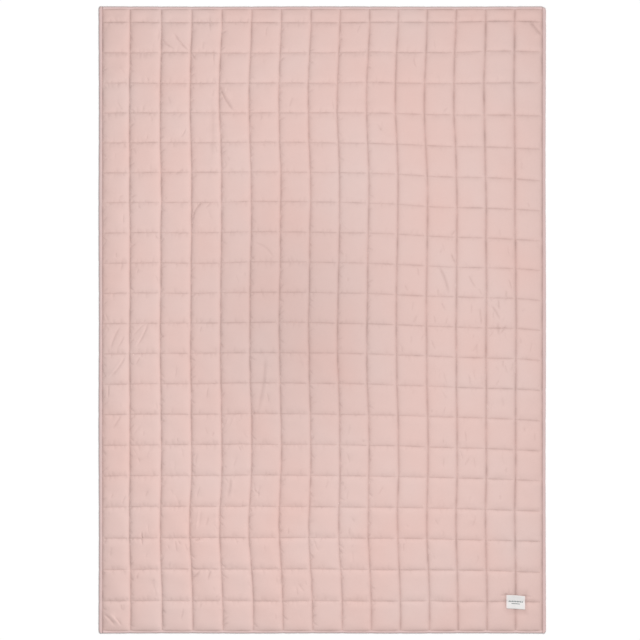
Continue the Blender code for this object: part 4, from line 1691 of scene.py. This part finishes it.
def labelMaterial(groups):
    # Cream ribbon with a plain woven motif: a row of small diamonds over a short rule
    facts = cottons["label"]
    material, tree, shader = newMaterial("wovenLabel", facts["roughness"], facts["sheen"])
    cloth = addNode(tree, "ShaderNodeUVMap", uv_map="clothUV").outputs["UV"]
    weave = addNode(tree, "ShaderNodeGroup", node_tree=groups["weave"])
    tree.links.new(cloth, weave.inputs["Cloth"])
    weave.inputs["Pitch"].default_value = facts["pitch"]
    weave.inputs["Slub"].default_value = facts["slub"]
    parts = addNode(tree, "ShaderNodeSeparateXYZ", {0: cloth}).outputs
    across = calculated(tree, "ABSOLUTE", parts[0])
    repeat = calculated(tree, "PINGPONG", parts[0], facts["diamond"])
    off = calculated(tree, "ABSOLUTE", calculated(tree, "SUBTRACT", parts[1], facts["diamondsUp"]))
    diamond = calculated(tree, "LESS_THAN", calculated(tree, "ADD", repeat, off), facts["diamond"])
    within = calculated(tree, "LESS_THAN", across, facts["diamondsReach"])
    diamond = calculated(tree, "MULTIPLY", diamond, within)
    low = calculated(tree, "ABSOLUTE", calculated(tree, "ADD", parts[1], facts["ruleDown"]))
    rule = calculated(tree, "LESS_THAN", low, facts["rule"])
    rule = calculated(tree, "MULTIPLY", rule, calculated(tree, "LESS_THAN", across, facts["ruleReach"]))
    mark = calculated(tree, "MAXIMUM", diamond, rule)
    folded = calculated(tree, "GREATER_THAN", across, label["width"] / 2 - facts["end"])
    ground = mixedColour(tree, folded, facts["dye"], facts["ends"])
    result = mixedColour(tree, mark, ground, facts["mark"])
    tone = calculated(tree, "MULTIPLY_ADD", weave.outputs["Tone"], facts["swing"], facts["darkest"])
    colour = addNode(tree, "ShaderNodeHueSaturation", {"Color": result})
    tree.links.new(tone, colour.inputs["Value"])
    tree.links.new(colour.outputs[0], shader.inputs["Base Color"])
    swing = facts["roughnessSwing"]
    rough = calculated(tree, "MULTIPLY_ADD", weave.outputs["Tone"], swing, facts["smoothest"])
    tree.links.new(rough, shader.inputs["Roughness"])
    raised = calculated(tree, "MULTIPLY_ADD", mark, facts["raised"], weave.outputs["Height"])
    bumped(tree, shader, [(raised, facts["weave"])])
    return material


# Floor, light and camera
studio = {
    "floor": 0.94,
    "floorSize": 56.0,
    "floorDrop": 0.2 * mm,
    "ambient": 0.50,
    "key": 0.58,
    "keyPlace": (0.42, 0.16, 1.6),
    "keyRadius": 0.30,
    "height": 6.0,
    "centre": (-6.9 * mm, -0.3 * mm),
    "lens": 118.75,
    "sensor": 36.0,
    "sees": 60.0,
}


def setStudio():
    scene = bpy.context.scene
    scene.view_settings.view_transform = "Standard"
    half = studio["floorSize"] / 2
    mesh = bpy.data.meshes.new("floor")
    corners = [(-half, -half), (half, -half), (half, half), (-half, half)]
    mesh.from_pydata([(x, y, -studio["floorDrop"]) for x, y in corners], [], [(0, 1, 2, 3)])
    material = bpy.data.materials.new("paleFloor")
    material.use_nodes = True
    shader = material.node_tree.nodes["Principled BSDF"]
    shader.inputs["Base Color"].default_value = (studio["floor"],) * 3 + (1.0,)
    shader.inputs["Roughness"].default_value = 1.0
    shader.inputs["Specular IOR Level"].default_value = 0.0
    mesh.materials.append(material)
    addPiece("floor", mesh)

    world = bpy.data.worlds.new("softRoom")
    world.use_nodes = True
    background = world.node_tree.nodes["Background"]
    background.inputs["Color"].default_value = (1.0, 1.0, 1.0, 1.0)
    background.inputs["Strength"].default_value = studio["ambient"]
    scene.world = world

    lamp = bpy.data.lights.new("key", "POINT")
    lamp.shadow_soft_size = studio["keyRadius"]
    lamp.energy = 1.0
    lamp.use_nodes = True
    emission = lamp.node_tree.nodes["Emission"]
    # As strong on the floor far from the lamp as straight below it
    falloff = addNode(lamp.node_tree, "ShaderNodeLightFalloff", {"Strength": keyStrength()})
    distance = addNode(lamp.node_tree, "ShaderNodeLightPath").outputs["Ray Length"]
    further = calculated(lamp.node_tree, "DIVIDE", distance, studio["keyPlace"][2])
    even = calculated(lamp.node_tree, "MULTIPLY", falloff.outputs["Constant"], further)
    lamp.node_tree.links.new(even, emission.inputs["Strength"])
    light = bpy.data.objects.new("key", lamp)
    light.location = studio["keyPlace"]
    scene.collection.objects.link(light)

    camera = bpy.data.cameras.new("camera")
    camera.lens = studio["lens"]
    camera.sensor_width = studio["sensor"]
    camera.clip_end = studio["sees"]
    eye = bpy.data.objects.new("camera", camera)
    eye.location = (*studio["centre"], studio["height"])
    scene.collection.objects.link(eye)
    scene.camera = eye
    print("floor, light and camera set")


def keyStrength():
    # A one-watt point light gives a white floor straight below it 1 / (4 pi^2) at 1 m
    return studio["key"] * 4 * math.pi**2


def finishPiece(piece, slotName, *nodes):
    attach(piece, "root")
    if nodes:
        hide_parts(*nodes)


def makeBlanket():
    groups = {"weave": weaveGroup(), "crease": creaseGroup(), "tone": toneGroup()}
    quiltCotton = cottonMaterial("quiltedCotton", "quilt", groups)
    bindingCotton = cottonMaterial("bindingCotton", "binding", groups)
    thread = threadMaterial()
    ribbon = labelMaterial(groups)
    print("finishes made")

    mesh, flat, pressed = quiltMesh()
    flatCoordinates(mesh, flat)
    seamDistances(mesh, quiltDistances(flat, pressed))
    cleaned(mesh, quiltCotton)
    quilt = addPiece("quiltPanel", mesh)
    finishPiece(quilt, "quilted_cotton", "quilt_panel")
    print("quilted panel made")

    strips = {}
    for side in sides:
        mesh, flat, fromLip = stripMesh(side)
        flatCoordinates(mesh, flat)
        # A strip has no cross seams, gaps or creases of its own: its lip gets painted shade like an
        # upright seam
        still = np.zeros(len(fromLip))
        far = still + layout["rowPitch"] / mm
        values = {"fromUpright": fromLip / mm, "fromCross": far, "openGap": still, "pressed": still}
        seamDistances(mesh, values)
        cleaned(mesh, bindingCotton)
        strips[side] = addPiece("binding" + side.capitalize(), mesh)
        finishPiece(strips[side], "binding_cotton", "binding_" + side)
    print("binding made")

    tree = BVHTree.FromObject(quilt, bpy.context.evaluated_depsgraph_get())
    mesh, flat, labelRows = labelMesh(tree)
    flatCoordinates(mesh, flat)
    cleaned(mesh, ribbon)
    labelPiece = addPiece("wovenLabel", mesh)
    finishPiece(labelPiece, "woven_label", "label")
    print("label made")

    stitches = stitchTree()
    for name, direction, fromAbove, seed in (
        ("uprightStitches", "upright", True, 1),
        ("crossStitches", "cross", True, 2),
        ("uprightStitchesUnder", "upright", False, 3),
        ("crossStitchesUnder", "cross", False, 4),
    ):
        rows = seamRows(direction, tree, fromAbove)
        finishPiece(sewnRows(name, stitches, rows, "seam", thread, seed), "quilted_cotton")
    for name, under, seed in (("bindingStitches", False, 5), ("bindingStitchesUnder", True, 6)):
        rows = stripRows(strips, under)
        finishPiece(sewnRows(name, stitches, rows, "strip", thread, seed), "binding_cotton")
    ends = sewnRows("labelStitches", stitches, labelRows, "label", thread, 7)
    finishPiece(ends, "woven_label")
    print("stitches made")


makeBlanket()
setStudio()
